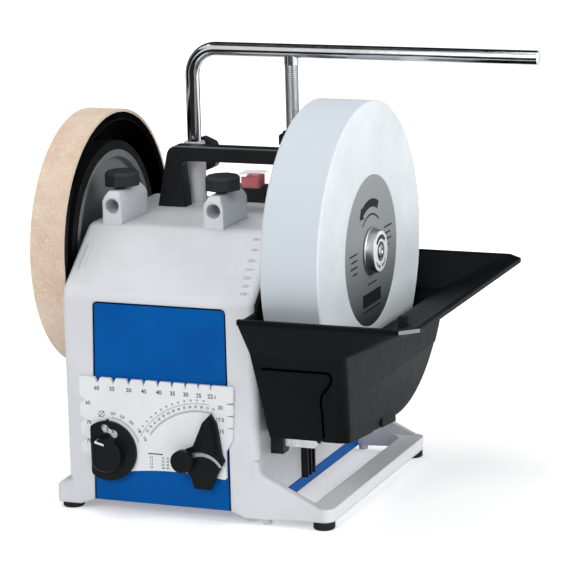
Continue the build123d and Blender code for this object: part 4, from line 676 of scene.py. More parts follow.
# %% Fillets between the posts and the base loop
FILLET_X, FILLET_ROOT = (0.8, 6), 110
FILLET_LEVELS = [
    # height, then reach in y beside the post and beside the loop, in mm
    (5, 119, 119),
    (36, 119, 119),
    (50, 118.9, 116.8),
]
for s in (-1, 1):
    points = []
    for z, *reaches in FILLET_LEVELS:
        loop = [*zip(FILLET_X, reaches), (FILLET_X[1], FILLET_ROOT), (FILLET_X[0], FILLET_ROOT)]
        points += [(x, s * y, z) for x, y in loop]
    fillet = stacked_solid("loop_fillet", points, len(loop), TO_METRES, mirrored=s > 0)
    cast_parts.append(new_object("loop_fillet", fillet))
print("fillets on both sides,", len(points), "points each")

# %% Round corners of the panel openings
PANEL_LEAN, PANEL_RECESS, PANEL_ROUND = 5.0, 0.6, 3.0
ROUND_STEPS, OVERLAP, WEB_GAP = 6, 1.0, 0.02


def panel_sides(node):
    """Ends of a panel's upper edge, its top and the face of the casting round it, in mm."""
    low, high = (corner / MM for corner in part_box(node))
    face = low.y - PANEL_RECESS if low.y < 0 else high.y + PANEL_RECESS
    return low.x + PANEL_LEAN, high.x, high.z, face


web = [(-OVERLAP, -PANEL_ROUND), (-OVERLAP, OVERLAP), (PANEL_ROUND, OVERLAP)]
for k in range(ROUND_STEPS + 1):
    web.append(around((PANEL_ROUND, -PANEL_ROUND), PANEL_ROUND, 90 + 90 * k / ROUND_STEPS))
for node in ("front_panel", "rear_panel"):
    left, right, crest, face = panel_sides(node)
    depth = math.copysign(PANEL_RECESS - WEB_GAP, -face)
    for x, s in ((left, 1), (right, -1)):
        points = [(x + s * u, y, crest + v) for y in (face, face + depth) for u, v in web]
        corner = stacked_solid("panel_corner", points, len(web), TO_METRES, triangles=True)
        cast_parts.append(new_object("panel_corner", corner))
print("casting parts", len(cast_parts))

# %% Join the casting
SHARP = math.radians(35)


def combine(name, base, others, operation):
    """Mesh of a base object with others joined to it or cut from it; all of them go away."""
    for other in others:
        step = base.modifiers.new(other.name, "BOOLEAN")
        step.operation = operation
        step.solver = "MANIFOLD"
        step.object = other
    mesh = plain_mesh(name, base)
    for other in others:
        bpy.data.objects.remove(other)
    return mesh


def flat_walls(name, mesh):
    """Mesh shaded smooth round its curves, with its flat walls kept flat."""
    mesh.shade_smooth()
    mesh.set_sharp_from_angle(angle=SHARP)
    holder = new_object(name, mesh)
    holder.modifiers.new("flat_walls", "WEIGHTED_NORMAL").keep_sharp = True
    return plain_mesh(name, holder)


casting = flat_walls("casting", combine("casting", cast_parts[0], cast_parts[1:], "UNION"))
add_piece("casting", casting, "housing", silver_enamel, hides=CASTING)

# %% [markdown]
# ## Round corner of the trough
# The trough is moulded, and its upright front corner is round from the floor to the rim, where
# the solid model has a plain chamfer. A cutter takes the chamfer's two edges off a copy of the
# trough: at each height it is a square corner with an arc in it, tangent to both walls, and the
# arc grows with the chamfer towards the rim.

# %% Cut the corner round
ARC_STEPS, CLEAR = 8, 6
CORNER_LEVELS = [
    # height, corner of the walls in x and y, leg of the chamfer, in mm
    (60.0, (88.0, -119.97), 6.0),
    (147.0, (88.0, -131.0), 6.0),
    (174.5, (152.5, -146.0), 14.0),
]
points = []
for height, (x, y), leg in CORNER_LEVELS:
    radius = leg * (1 + math.sqrt(0.5))
    ring = []
    for k in range(ARC_STEPS + 1):
        ring.append(around((x - radius, y + radius), radius, 90 * k / ARC_STEPS - 90))
    ring += [(x + CLEAR, y + radius), (x + CLEAR, y - CLEAR), (x - radius, y - CLEAR)]
    points += [(*point, height) for point in ring]
cutter_mesh = stacked_solid("corner_cutter", points, len(ring), TO_METRES, triangles=True)
cutter = new_object("corner_cutter", cutter_mesh)
tub = flat_walls("trough_tub", combine("trough_tub", solid_copy("trough"), [cutter], "DIFFERENCE"))
add_piece("trough_tub", tub, "trough", trough_pp, hides=["trough"])

# %% [markdown]
# ## Print
# Dials and scales are screen printed: flat ink, a few hundredths of a millimetre proud. The
# characters come from Blender's own font, turned to mesh; lines and arcs are drawn as thin quads.
# All of one face goes on one flat drawing in millimetres, which is then laid on the part.

# %% Drawing tools
INK_RISE = 0.04
ARC_DEGREES = 3


def new_drawing():
    """Empty drawing."""
    return {"points": [], "faces": []}


def draw(drawing, points, faces):
    """Add points and faces to a drawing."""
    first = len(drawing["points"])
    drawing["points"] += points
    drawing["faces"] += [[first + i for i in face] for face in faces]


def draw_text(drawing, text, at, height, turn=0, bold=0.02):
    """Characters centred on a point, turned by degrees; bold thickens the strokes."""
    curve = bpy.data.curves.new("characters", "FONT")
    curve.body = text
    curve.align_x = "CENTER"
    curve.offset = bold
    mesh = plain_mesh("characters", new_object("characters", curve))
    rows = [v.co.y for v in mesh.vertices]
    size = height / (max(rows) - min(rows))
    middle = Vector((0, (max(rows) + min(rows)) / 2, 0))
    spin = Matrix.Rotation(math.radians(turn), 4, "Z")
    place = Matrix.Translation((*at, 0)) @ spin @ Matrix.Scale(size, 4)
    points = [(place @ (v.co - middle)).xy for v in mesh.vertices]
    draw(drawing, points, [list(p.vertices) for p in mesh.polygons])


def draw_line(drawing, start, end, width):
    """Straight stroke."""
    start, end = Vector(start), Vector(end)
    aside = (end - start).orthogonal().normalized() * width / 2
    draw(drawing, [start - aside, start + aside, end + aside, end - aside], [(0, 1, 2, 3)])


def draw_arc(drawing, centre, radius, width, start, end):
    """Round stroke from one angle to another, counter-clockwise in degrees."""
    steps = max(2, int((end - start) / ARC_DEGREES))
    points = []
    for k in range(steps + 1):
        angle = start + (end - start) * k / steps
        points += [around(centre, reach, angle) for reach in (radius - width / 2, radius + width / 2)]
    draw(drawing, points, strip_faces(steps))


def draw_path(drawing, points, width):
    """Stroke along a chain of points, mitred at the corners."""
    points = [Vector(p) for p in points]
    edges = []
    for k, point in enumerate(points):
        ahead = (points[min(k + 1, len(points) - 1)] - points[max(k - 1, 0)]).normalized()
        leg = (points[k + 1] - point if k == 0 else point - points[k - 1]).normalized()
        aside = ahead.orthogonal() * width / 2 / max(0.5, ahead.dot(leg))
        edges += [point - aside, point + aside]
    draw(drawing, edges, strip_faces(len(points) - 1))


def lay_print(name, drawing, place, body, ink):
    """Lay a drawing in millimetres on a face, just proud of it, all faces looking out."""
    sheet = bmesh.new()
    sheet.from_mesh(mesh_of(name, [(x, y, INK_RISE) for x, y in drawing["points"]], drawing["faces"]))
    for face in sheet.faces:
        face.normal_update()
        if face.normal.z < 0:
            face.normal_flip()
    mesh = mesh_from(sheet, name)
    mesh.transform(place @ TO_METRES)
    return add_piece(name, mesh, body, ink)


print("drawing tools ready")

# %% [markdown]
# ## Print on the angle gauge
# The plate carries the angle of every V notch, a protractor round the pointer and a scale of
# stone diameters round the dial. Positions are in millimetres from the plate's top left corner.

# %% Angles beside the notches
PIVOT, DIAL = (108.2, -78.4), (25.1, -61.5)
TOP_ROW = -9.0
TOP_ANGLES = {
    "60": 15.8, "55": 29.7, "50": 44.9, "45": 58.5, "40": 71.8,
    "35": 84.0, "30": 95.8, "25": 107.3, "22": 117.4,
}
SIDE_ANGLES = {
    "65": (7.3, -22.2), "70": (7.5, -38.9), "75": (7.0, -54.7),
    "20": (126.0, -17.8), "17.5": (125.4, -28.1), "15": (126.7, -37.9),
}
scales = new_drawing()
for angle, x in TOP_ANGLES.items():
    draw_text(scales, angle, (x, TOP_ROW), height=3.6, bold=0.022)
# The last of the row is 22.5, with its fraction in smaller print
draw_text(scales, ".5", (121.4, -9.5), height=2.4)
for angle, spot in SIDE_ANGLES.items():
    draw_text(scales, angle, spot, height=3.2)
print("angles", len(scales["faces"]), "faces")

# %% Protractor round the pointer
HAIRLINE = 0.25


def draw_tick(drawing, centre, inner, outer, turn):
    """Hairline across a round scale."""
    draw_line(drawing, around(centre, inner, turn), around(centre, outer, turn), HAIRLINE)


def draw_number(drawing, number, centre, radius, turn, height):
    """Number that stands on a round scale."""
    draw_text(drawing, str(number), around(centre, radius, turn), height, turn - 90)


FIRST_DEGREE, LAST_DEGREE, FIRST_TURN, DEGREE_TURN = 10, 75, 79.1, 0.986
TICK_FOOT, SHORT_TICK, LONG_TICK = 55.8, 57.2, 57.8
for degree in range(FIRST_DEGREE, LAST_DEGREE + 1):
    turn = FIRST_TURN + (degree - FIRST_DEGREE) * DEGREE_TURN
    draw_tick(scales, PIVOT, TICK_FOOT, SHORT_TICK if degree % 5 else LONG_TICK, turn)
    if degree % 5 == 0:
        draw_number(scales, degree, PIVOT, 59.8, turn, height=2.1)
draw_arc(scales, PIVOT, radius=55.7, width=0.35, start=78, end=145)
# A second scale further out counts down from 80 in steps of 5
OUTER_R, OUTER_MARKS, OUTER_TURN, OUTER_STEP = 62.4, 13, 147.7, 5.04
draw_arc(scales, PIVOT, OUTER_R, width=0.3, start=82, end=150)
for k in range(OUTER_MARKS):
    turn = OUTER_TURN - OUTER_STEP * k
    draw_tick(scales, PIVOT, OUTER_R, OUTER_R + 1, turn)
    draw_number(scales, 80 - 5 * k, PIVOT, 65.2, turn, height=1.6)
print("protractor", len(scales["faces"]), "faces")

# %% Stone diameters round the dial
DIAMETERS = {250: 81.7, 225: 66.0, 200: 50.1, 175: 34.0, 150: 20.3}
# The numbers move out a little towards the smaller stones
for i, (diameter, turn) in enumerate(DIAMETERS.items()):
    draw_number(scales, diameter, DIAL, 31.9 + 0.2 * i * i, turn, height=2.2)
DIAL_FOOT, DIAL_SHORT, DIAL_LONG = 28.2, 29.3, 30.2
DIAL_MARKS, DIAL_TURN, DIAL_STEP = 23, 82.5, 2.93
for k in range(DIAL_MARKS):
    draw_tick(scales, DIAL, DIAL_FOOT, DIAL_SHORT if k % 5 else DIAL_LONG, DIAL_TURN - DIAL_STEP * k)
draw_arc(scales, DIAL, radius=28.1, width=0.35, start=18, end=DIAL_TURN)
# The sign for a diameter, a ring with a stroke through it
draw_arc(scales, (19.3, -31.0), radius=2.4, width=0.5, start=0, end=360)
draw_line(scales, (16.6, -33.8), (22.0, -28.2), width=0.5)
print("diameters", list(DIAMETERS))

# %% Numbers in the dial's window and a small table
WINDOW_R, WINDOW_TURNS = 17.6, (58, 76, 94, 112, 130)
for number, turn in enumerate(WINDOW_TURNS, 1):
    draw_number(scales, number, DIAL, WINDOW_R, turn, height=3.6)
TABLE_COLUMNS, TABLE_TOP, TABLE_STEP = (63.0, 75.5), -64.6, 2.8
TABLE = (("0.5", "15 - 20"), ("1.0", "20 - 25"), ("1.5", "25 - 30"), ("2.0", "30 - 40"))
for row, entries in enumerate(TABLE):
    for x, entry in zip(TABLE_COLUMNS, entries):
        draw_text(scales, entry, (x, TABLE_TOP - TABLE_STEP * row), height=1.7)
draw_line(scales, (60.5, -61.6), (73.5, -61.6), width=1.0)
plate_low, plate_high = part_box("gauge_plate")
plate_corner = onto((plate_low.x, plate_low.y, plate_high.z), (1, 0, 0), (0, 0, 1))
lay_print("gauge_scales", scales, plate_corner, "gauge", black_ink)

# %% [markdown]
# ## White strip in the dial's slot
# The slot of the dial's grip shows white in its middle. A white block fills it: a plain block,
# turned like the slot and left just under the grip's top.

# %% White strip in the slot
SLOT_SPOT, SLOT_TURN = (21.2, -53.5), -15
SLOT_FLOOR, STRIP_TOP = 3.4, 11.2
STRIP_SIZE = (8.6, 1.9, STRIP_TOP - SLOT_FLOOR)
slot_middle = Matrix.Translation((*SLOT_SPOT, (SLOT_FLOOR + STRIP_TOP) / 2))
slot_turn = Matrix.Rotation(math.radians(SLOT_TURN), 4, "Z")
strip_place = plate_corner @ TO_METRES @ slot_middle @ slot_turn @ Matrix.Diagonal((*STRIP_SIZE, 1))
strip = bmesh.new()
bmesh.ops.create_cube(strip, size=1, matrix=strip_place)
add_piece("dial_index", mesh_from(strip, "dial_index"), "dial", white_abs)

# %% [markdown]
# ## Scale on the sloping top
# A grey scale beside the stone shows how far it has worn. Its numbers follow the stone's edge
# down the slope, so each has its own place, measured from the photograph onto the slope's plane.

# %% Stone wear scale
WEAR_MARKS = {
    180: (-8.6, -68.9), 190: (-6.8, -77.6), 200: (-5.8, -86.3), 210: (-5.5, -93.4),
    220: (-4.6, -100.3), 230: (-3.5, -106.8), 240: (-2.5, -113.0),
}
NUMBER_SHIFT, DASH_START, DASH_END = -0.6, 3.0, 5.0
wear_scale = new_drawing()
for diameter, (x, y) in WEAR_MARKS.items():
    along = (y - SLOPE_FOOT.y) * SLOPE_UP.length / SLOPE_UP.y
    draw_text(wear_scale, str(diameter), (x + NUMBER_SHIFT, along), height=2.9, bold=0.015)
    draw_line(wear_scale, (x + DASH_START, along), (x + DASH_END, along), width=0.4)
lay_print("wear_scale", wear_scale, slope, "housing", grey_ink)

# %% [markdown]
# ## Painted shadow of the trough's front field
# The sunken field on the trough's front is framed by a narrow black line of painted shadow, the
# shade that the step into the field throws. It is drawn along the top of the step, on the wall's
# own sloping plane.

# %% Painted shadow line
STEP_SHADOW = [
    (17.5, 135.2), (73.4, 135.2), (75.4, 134.4), (76.7, 131.8), (76.6, 130.0),
    (75.0, 124.9), (68.2, 117.0), (66.2, 111.0), (66.9, 100.4), (66.9, 78.0),
]
WALL_Y, WALL_Z, WALL_UP = -129.55, 134.3, Vector((0, -0.1293, 0.9916))
step_shadow_line = new_drawing()
draw_path(step_shadow_line, [(x, (z - WALL_Z) / WALL_UP.z) for x, z in STEP_SHADOW], width=1.9)
wall_plane = onto(Vector((0, WALL_Y, WALL_Z)) * MM, (1, 0, 0), WALL_UP)
# Black ink for the painted shadow of the step
step_shadow_ink = printing_ink("painted_step_shadow_black", "#010101", "#020202", Specular_IOR_Level=0.0)
lay_print("trough_seam", step_shadow_line, wall_plane, "trough", step_shadow_ink)

# %% [markdown]
# ## Painted highlight on the trough's lip
# The short face across the lip's front corner catches a bright highlight. A thin pale grey strip
# painted on that face stands for it: a stroke along its middle, as wide as the lip is high.

# %% Painted highlight
LIP_START, LIP_END = Vector((140.0, -147.5, 176.5)), Vector((154.0, -133.5, 176.5))
LIP_INSET, LIP_WIDTH = 0.6, 3.2
lip_strip = new_drawing()
lip_run = LIP_END - LIP_START
draw_line(lip_strip, (LIP_INSET, 0), (lip_run.length - LIP_INSET, 0), LIP_WIDTH)
# Pale grey for the painted highlight
highlight_grey = printing_ink("painted_highlight_grey", "#7A7C82", "#84868C", Specular_IOR_Level=0.4)
lip_face = onto(LIP_START * MM, lip_run, (0, 0, 1))
lay_print("lip_strip", lip_strip, lip_face, "trough", highlight_grey)

# %% [markdown]
# ## Shadow gap of the panels
# Each sheet panel sits in its rebate with a hair of clearance. Light does not reach into a gap
# that narrow, so a dark line just inside the panel's edge stands for it.

# %% Gap lines
GAP = 1.1
gap_shade = printing_ink("shadow_gap", "#04101F", "#061428", Specular_IOR_Level=0.0)
for node, way in (("front_panel", 1), ("rear_panel", -1)):
    low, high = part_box(node)
    left, right, crest, face = panel_sides(node)
    bend_z = crest - PANEL_ROUND
    line = [(low.x / MM + GAP / 2, low.z / MM)]
    for bend_x, start in ((left + PANEL_ROUND, 180), (right - PANEL_ROUND, 90)):
        for k in range(ROUND_STEPS + 1):
            line.append(around((bend_x, bend_z), PANEL_ROUND - GAP / 2, start - 90 * k / ROUND_STEPS))
    line.append((right - GAP / 2, low.z / MM))
    gap = new_drawing()
    draw_path(gap, [(way * x, z) for x, z in line[::way]], GAP)
    skin = onto((0, low.y if way > 0 else high.y, 0), (way, 0, 0), (0, 0, 1))
    lay_print(node + "_gap", gap, skin, "housing", gap_shade)

# %% [markdown]
# ## Painted highlight on the handle's edges
# The chamfers of the handle's long upper edges catch the light and look paler than the grained
# faces. A pale band painted on the chamfer of each edge stands for that highlight, along the top and
# part of the way round both ends. It is a row of quads between two lines: one on the handle's
# outline and one a chamfer further in, on its face.

# %% Bands on the chamfers
# Pale plastic for the painted highlight on the chamfers
edge_highlight_abs = moulded("black_abs_edge_highlight", "#515256", "#5C5D61", (0.34, 0.44), 0.8, 0.03, edge=0.3)
END_ROUND, END_REACH, CHAMFER, BAND_RISE = 10.0, 19.1, 1.0, 0.05
BEND_STEPS, STEP_TURN = 10, 5
handle_low, handle_high = (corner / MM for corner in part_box("handle"))
bend_z = handle_high.z - END_ROUND
outline = []
for bend_x, start in ((handle_low.x + END_REACH, 140), (handle_high.x - END_REACH, 90)):
    for k in range(BEND_STEPS + 1):
        angle = math.radians(start - STEP_TURN * k)
        outline.append((Vector((bend_x, 0, bend_z)), Vector((math.cos(angle), 0, math.sin(angle)))))
bands = new_drawing()
quads = strip_faces(len(outline) - 1)
for face_y, inward in ((handle_low.y, Vector((0, 1, 0))), (handle_high.y, Vector((0, -1, 0)))):
    edge = []
    for middle, outward in outline:
        on_face = middle + Vector((0, face_y, 0)) + (outward - inward).normalized() * BAND_RISE
        edge.append(on_face + outward * END_ROUND + inward * CHAMFER)
        edge.append(on_face + outward * (END_ROUND - CHAMFER))
    draw(bands, edge, quads if inward.y > 0 else [quad[::-1] for quad in quads])
band_mesh = mesh_of("handle_edges", bands["points"], bands["faces"], TO_METRES)
band_mesh.shade_smooth()
add_piece("handle_edges", band_mesh, "housing", edge_highlight_abs)

# %% [markdown]
# ## Stop block in the trough
# A small rubber block stands on the trough's inner slope beside the stone. Its foot follows the
# slope and is sunk a little into it, so that no gap shows.

# %% Block
BLOCK_X, BLOCK_Y = (117.8, 123.6), (-84.0, -76.5)
BLOCK_TOP, BLOCK_SINK = 174.0, 0.8
INNER_X, INNER_Z, INNER_RATE = 120, 165.0, 0.424
ring = [(BLOCK_X[i], BLOCK_Y[j]) for i, j in ((0, 0), (1, 0), (1, 1), (0, 1))]
foot = [(x, y, INNER_Z + INNER_RATE * (x - INNER_X) - BLOCK_SINK) for x, y in ring]
head = [(x, y, BLOCK_TOP) for x, y in ring]
block = stacked_solid("trough_stop", foot + head, len(ring), TO_METRES)
add_piece("trough_stop", block, "trough", foot_rubber)

# %% [markdown]
# ## Label of the stone
# The label is a grey disc. It gets plain marks that any such label could have: an arrow for the
# direction of turn, a few lines beside the hole and a dark bar at the foot.


# %% Arrow, lines and bar
def draw_arrow_head(drawing, radius, half, turn, tip):
    """Arrow head on a round stroke about the centre, from one angle to its tip at another."""
    foot = [around(CENTRE, reach, turn) for reach in (radius - half, radius + half)]
    draw(drawing, [*foot, around(CENTRE, radius, tip)], [(0, 1, 2)])


label_marks = new_drawing()
ARROW_R, ARROW_END = 40, 118
draw_arc(label_marks, CENTRE, ARROW_R, width=7.0, start=62, end=ARROW_END)
draw_arrow_head(label_marks, ARROW_R, half=6.5, turn=ARROW_END, tip=131)
draw_arc(label_marks, CENTRE, radius=30.5, width=1.6, start=50, end=130)
LINE_START, LINE_STEP = 33, 5.4
for way, high in ((-1, 4.0), (1, 13.0)):
    for row, length in enumerate((19, 15, 17, 12)):
        left, right = sorted((way * LINE_START, way * (LINE_START + length)))
        line_z = high - LINE_STEP * row
        draw_line(label_marks, (left, line_z), (right, line_z), width=1.5)
draw_line(label_marks, (-10, -27.5), (12, -27.5), width=1.2)
draw_line(label_marks, (-22, -40), (22, -40), width=11.0)
draw_line(label_marks, (-20, -49), (20, -49), width=1.4)
label_face = onto((label_high.x, 0, (label_low.z + label_high.z) / 2), (0, 1, 0), (0, 0, 1))
label_ink = printing_ink("dark_label_ink", "#26282A", "#191B1C", Specular_IOR_Level=0.1)
lay_print("label_marks", label_marks, label_face, "spindle", label_ink)

# %% [markdown]
# ## Marks of the switch
# The rocker carries a line for on and a ring for off. Its top is dished, so the marks are bent
# onto the same arc: each point's height comes from its distance to the pivot.

# %% Rocker marks
DISH, MARK_RISE = 2 * MM, 0.06 * MM
MARK_Y = 4.6
rocker_low, rocker_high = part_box("switch_rocker")
half_depth = (rocker_high.y - rocker_low.y) / 2
dish_r = (half_depth**2 + DISH**2) / (2 * DISH)
dish_centre = rocker_high.z - DISH + dish_r
rocker_marks = new_drawing()
draw_line(rocker_marks, (-2.2, MARK_Y), (2.2, MARK_Y), width=0.8)
draw_arc(rocker_marks, (0, -MARK_Y), radius=1.8, width=0.7, start=0, end=360)
rocker_x = (rocker_low.x + rocker_high.x) / 2
rocker_y = (rocker_low.y + rocker_high.y) / 2
rocker_place = Matrix.Translation((rocker_x, rocker_y, 0))
marks = lay_print("rocker_marks", rocker_marks, rocker_place, "rocker", white_ink)
for vertex in marks.data.vertices:
    away = vertex.co.y - rocker_y
    vertex.co.z = dish_centre - math.sqrt(dish_r**2 - away**2) + MARK_RISE

# %% [markdown]
# ## Thread of the height leg
# The right leg of the support carries a rolled thread, on which the height nut runs. A thread is
# a ridge that follows a helix, so Geometry Nodes sweep a small diamond along a spiral and join it
# to the core. The piece stands for the plain CAD leg and has its outer size.


# %% Helpers for Geometry Nodes
def new_tree(name, sockets):
    """Geometry Nodes tree with named inputs: returns the tree, its inputs and its output node."""
    tree = bpy.data.node_groups.new(name, "GeometryNodeTree")
    tree.interface.new_socket("Geometry", in_out="INPUT", socket_type="NodeSocketGeometry")
    for label, kind in sockets.items():
        tree.interface.new_socket(label, in_out="INPUT", socket_type="NodeSocket" + kind)
    tree.interface.new_socket("Geometry", in_out="OUTPUT", socket_type="NodeSocketGeometry")
    return tree, add_node(tree, "NodeGroupInput").outputs, add_node(tree, "NodeGroupOutput")


def close_tree(tree, shape, given, result):
    """Make a tree's instances real, give them its material and send them out."""
    real = add_node(tree, "GeometryNodeRealizeInstances", {0: shape})
    dressed = add_node(tree, "GeometryNodeSetMaterial", {
        "Geometry": real.outputs[0], "Material": given["Material"],
    })
    tree.links.new(dressed.outputs[0], result.inputs[0])


def grow(name, mesh, tree, values):
    """Run a Geometry Nodes tree on a mesh and return the result as a plain mesh."""
    holder = new_object(name, mesh)
    nodes = holder.modifiers.new("nodes", "NODES")
    nodes.node_group = tree
    for socket in tree.interface.items_tree:
        if socket.in_out == "INPUT" and socket.name in values:
            nodes[socket.identifier] = values[socket.name]
    return plain_mesh(name, holder)


print("Geometry Nodes helpers ready")

# %% Thread tree
thread, given, result = new_tree("rolled_thread", {
    "Radius": "Float", "Pitch": "Float", "Length": "Float", "Ridge": "Float", "Material": "Material",
})
turns = add_node(thread, "ShaderNodeMath", {0: given["Length"], 1: given["Pitch"]}, operation="DIVIDE")
helix = add_node(thread, "GeometryNodeCurveSpiral", {
    "Resolution": 20, "Rotations": turns.outputs[0], "Start Radius": given["Radius"],
    "End Radius": given["Radius"], "Height": given["Length"],
})
steady = add_node(thread, "GeometryNodeSetCurveNormal", {"Curve": helix.outputs[0]}, mode="Z_UP")
diamond = add_node(thread, "GeometryNodeCurvePrimitiveCircle", {
    "Resolution": 4, "Radius": given["Ridge"],
})
ridge = add_node(thread, "GeometryNodeCurveToMesh", {
    "Curve": steady.outputs[0], "Profile Curve": diamond.outputs[0], "Fill Caps": True,
})
joined = add_node(thread, "GeometryNodeJoinGeometry", {0: given["Geometry"]})
thread.links.new(ridge.outputs[0], joined.inputs[0])
close_tree(thread, joined.outputs[0], given, result)
print("thread tree", len(thread.nodes), "nodes")

# %% Threaded leg
LEG_R, PITCH, RIDGE, PLAIN_END = 6.0, 1.75, 0.72, 12.5
LEG_SIDES, RING_MERGE = 32, 0.001


def lathe(name, outline, segments):
    """Mesh turned about Z from (radius, height) points; a radius of 0 closes an end."""
    points, faces, rings = [], [], []
    for radius, height in outline:
        count = segments if radius else 1
        rings.append(range(len(points), len(points) + count))
        points += [(*around(CENTRE, radius, 360 * k / segments), height) for k in range(count)]
    for low, high in zip(rings, rings[1:]):
        for k in range(segments):
            after = (k + 1) % segments
            corners = ((low, k), (low, after), (high, after), (high, k))
            loop = [ring[number % len(ring)] for ring, number in corners]
            faces.append(list(dict.fromkeys(loop)))
    shape = bmesh.new()
    shape.from_mesh(mesh_of(name, points, faces))
    bmesh.ops.remove_doubles(shape, verts=shape.verts, dist=RING_MERGE)
    bmesh.ops.recalc_face_normals(shape, faces=shape.faces)
    mesh = mesh_from(shape, name)
    mesh.shade_smooth()
    mesh.set_sharp_from_angle(angle=SHARP)
    return mesh


leg_low, leg_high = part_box("threaded_leg")
leg_length = (leg_high.z - leg_low.z) / MM
core_length = leg_length - PLAIN_END
core_r = LEG_R - RIDGE
core = lathe("leg_core", [
    (0, 0), (core_r, 0), (core_r, core_length), (LEG_R, core_length + RIDGE),
    (LEG_R, leg_length - LEG_R / 2), (0, leg_length - LEG_R / 2),
], LEG_SIDES)
leg_mesh = grow("leg_thread", core, thread, {
    "Radius": core_r, "Pitch": PITCH, "Length": core_length, "Ridge": RIDGE,
    "Material": thread_stainless,
})
leg_middle = (leg_low + leg_high) / 2
leg_mesh.transform(Matrix.Translation((leg_middle.x, leg_middle.y, leg_low.z)) @ TO_METRES)
add_piece("leg_thread", leg_mesh, "support", hides=["threaded_leg"])

# %% [markdown]
# ## Knurled nuts
# The height nut, the nut of the honing wheel and the cord gland are turned by hand, so their rims
# are ribbed. The ribs are one thin rod repeated round a circle by Geometry Nodes, half sunk in the
# CAD part.

# %% Ribs round a rim
ribs, given, result = new_tree("ribbed_rim", {
    "Ribs": "Int", "Radius": "Float", "Rib": "Float", "Length": "Float", "Material": "Material",
})
rim = add_node(ribs, "GeometryNodeMeshCircle", {"Vertices": given["Ribs"], "Radius": given["Radius"]})
rod = add_node(ribs, "GeometryNodeMeshCylinder", {
    "Vertices": 6, "Radius": given["Rib"], "Depth": given["Length"],
})
row = add_node(ribs, "GeometryNodeInstanceOnPoints", {
    "Points": rim.outputs[0], "Instance": rod.outputs[0],
})
close_tree(ribs, row.outputs[0], given, result)

ALONG_X = Matrix.Rotation(math.radians(90), 4, "Y")
ALONG_Y = Matrix.Rotation(math.radians(-90), 4, "X")
ALONG_Z = Matrix.Identity(4)
RIB = 0.5
RIBBED = {
    # node: body, axis, ribs, radius, length and shift along the axis in mm, finish
    "adjust_nut": ("height_nut", ALONG_Z, 44, 12.0, 7.4, -1.3, black_abs),
    "honing_nut": ("spindle", ALONG_X, 40, 12.9, 5.2, 0.4, gloss_nylon),
    "cable_gland": ("housing", ALONG_Y, 18, 6.4, 7.0, 2.4, black_abs),
}
for node, (body, axis, count, radius, length, shift, finish) in RIBBED.items():
    mesh = grow(node + "_ribs", bpy.data.meshes.new(node), ribs, {
        "Ribs": count, "Radius": radius, "Rib": RIB, "Length": length, "Material": finish,
    })
    low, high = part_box(node)
    middle = (low + high) / 2 + axis.to_3x3() @ Vector((0, 0, shift * MM))
    mesh.transform(Matrix.Translation(middle) @ axis @ TO_METRES)
    add_piece(node + "_ribs", mesh, body)

# %% [markdown]
# ## Nut of the stone
# The nut is turned from bar: a smooth rim that tapers to its face, with a white disc let into the
# face and the bright end of the shaft in the middle. Each is a profile of radius and height spun
# round the shaft. The turned nut stands for the plain CAD nut and has its outer size.

# %% Turned nut, white disc and shaft end
BORE_R, DISC_R, TIP_R, NUT_SIDES = 6.4, 17.0, 5.8, 64
DISC_FOOT, DISC_RISE = -0.4, 0.3
nut_low, nut_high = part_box("stone_nut")
shaft_z = (nut_low.z + nut_high.z) / 2
nut_r = (nut_high.z - nut_low.z) / 2 / MM
nut_back = (nut_low.x - nut_high.x) / MM
nut_face = Matrix.Translation((nut_high.x, 0, shaft_z)) @ ALONG_X @ TO_METRES
TURNED = {
    # name: slot, finish, replaced nodes, profile
    "turned_nut": ("stainless", nut_stainless, ["stone_nut"], [
        (BORE_R, nut_back), (nut_r - 0.5, nut_back), (nut_r, nut_back + 0.5), (nut_r, nut_back + 1.4),
        (nut_r - 0.9, nut_back + 2.0), (nut_r - 2.0, -0.8), (nut_r - 2.7, 0),
        (BORE_R, 0), (BORE_R, nut_back),
    ]),
    "nut_disc": ("white_plastic", white_abs, [], [
        (BORE_R, DISC_FOOT), (BORE_R, 0.2), (DISC_R - 0.6, DISC_RISE),
        (DISC_R, 0.1), (DISC_R, DISC_FOOT), (BORE_R, DISC_FOOT),
    ]),
    "shaft_tip": ("stainless", nut_stainless, [], [
        (0, -1.6), (TIP_R, -1.6), (TIP_R, 0.6), (5.0, 1.2), (2.4, 1.3), (1.4, 0.4), (0, 0.2),
    ]),
}
for name, (slot, finish, hides, profile) in TURNED.items():
    turned = lathe(name, profile, NUT_SIDES)
    turned.transform(nut_face)
    add_piece(name, turned, "spindle", finish, hides)

# %% Marks on the disc
MARK_R, MARK_TURN, HEAD_TURN = 13.0, 36, 14
nut_marks = new_drawing()
draw_arc(nut_marks, CENTRE, radius=12.2, width=3.6, start=38, end=142)
draw_arc(nut_marks, CENTRE, radius=7.4, width=1.6, start=0, end=360)
for turn, way in ((214, 1), (326, -1)):
    head = turn + MARK_TURN * way
    draw_arc(nut_marks, CENTRE, MARK_R, width=1.3, start=min(turn, head), end=max(turn, head))
    draw_arrow_head(nut_marks, MARK_R, half=1.8, turn=head, tip=head + HEAD_TURN * way)
disc_face = onto((nut_high.x + DISC_RISE * MM, 0, shaft_z), (0, 1, 0), (0, 0, 1))
lay_print("nut_marks", nut_marks, disc_face, "spindle", black_ink)

# %% [markdown]
# ## Cross-recess screws
# The rear panel and the trough's rest are held by pan-head screws. One head is modelled with its
# cross recess, and Geometry Nodes put a copy on every screw place.

# %% One screw
HEAD_SIDES = 24


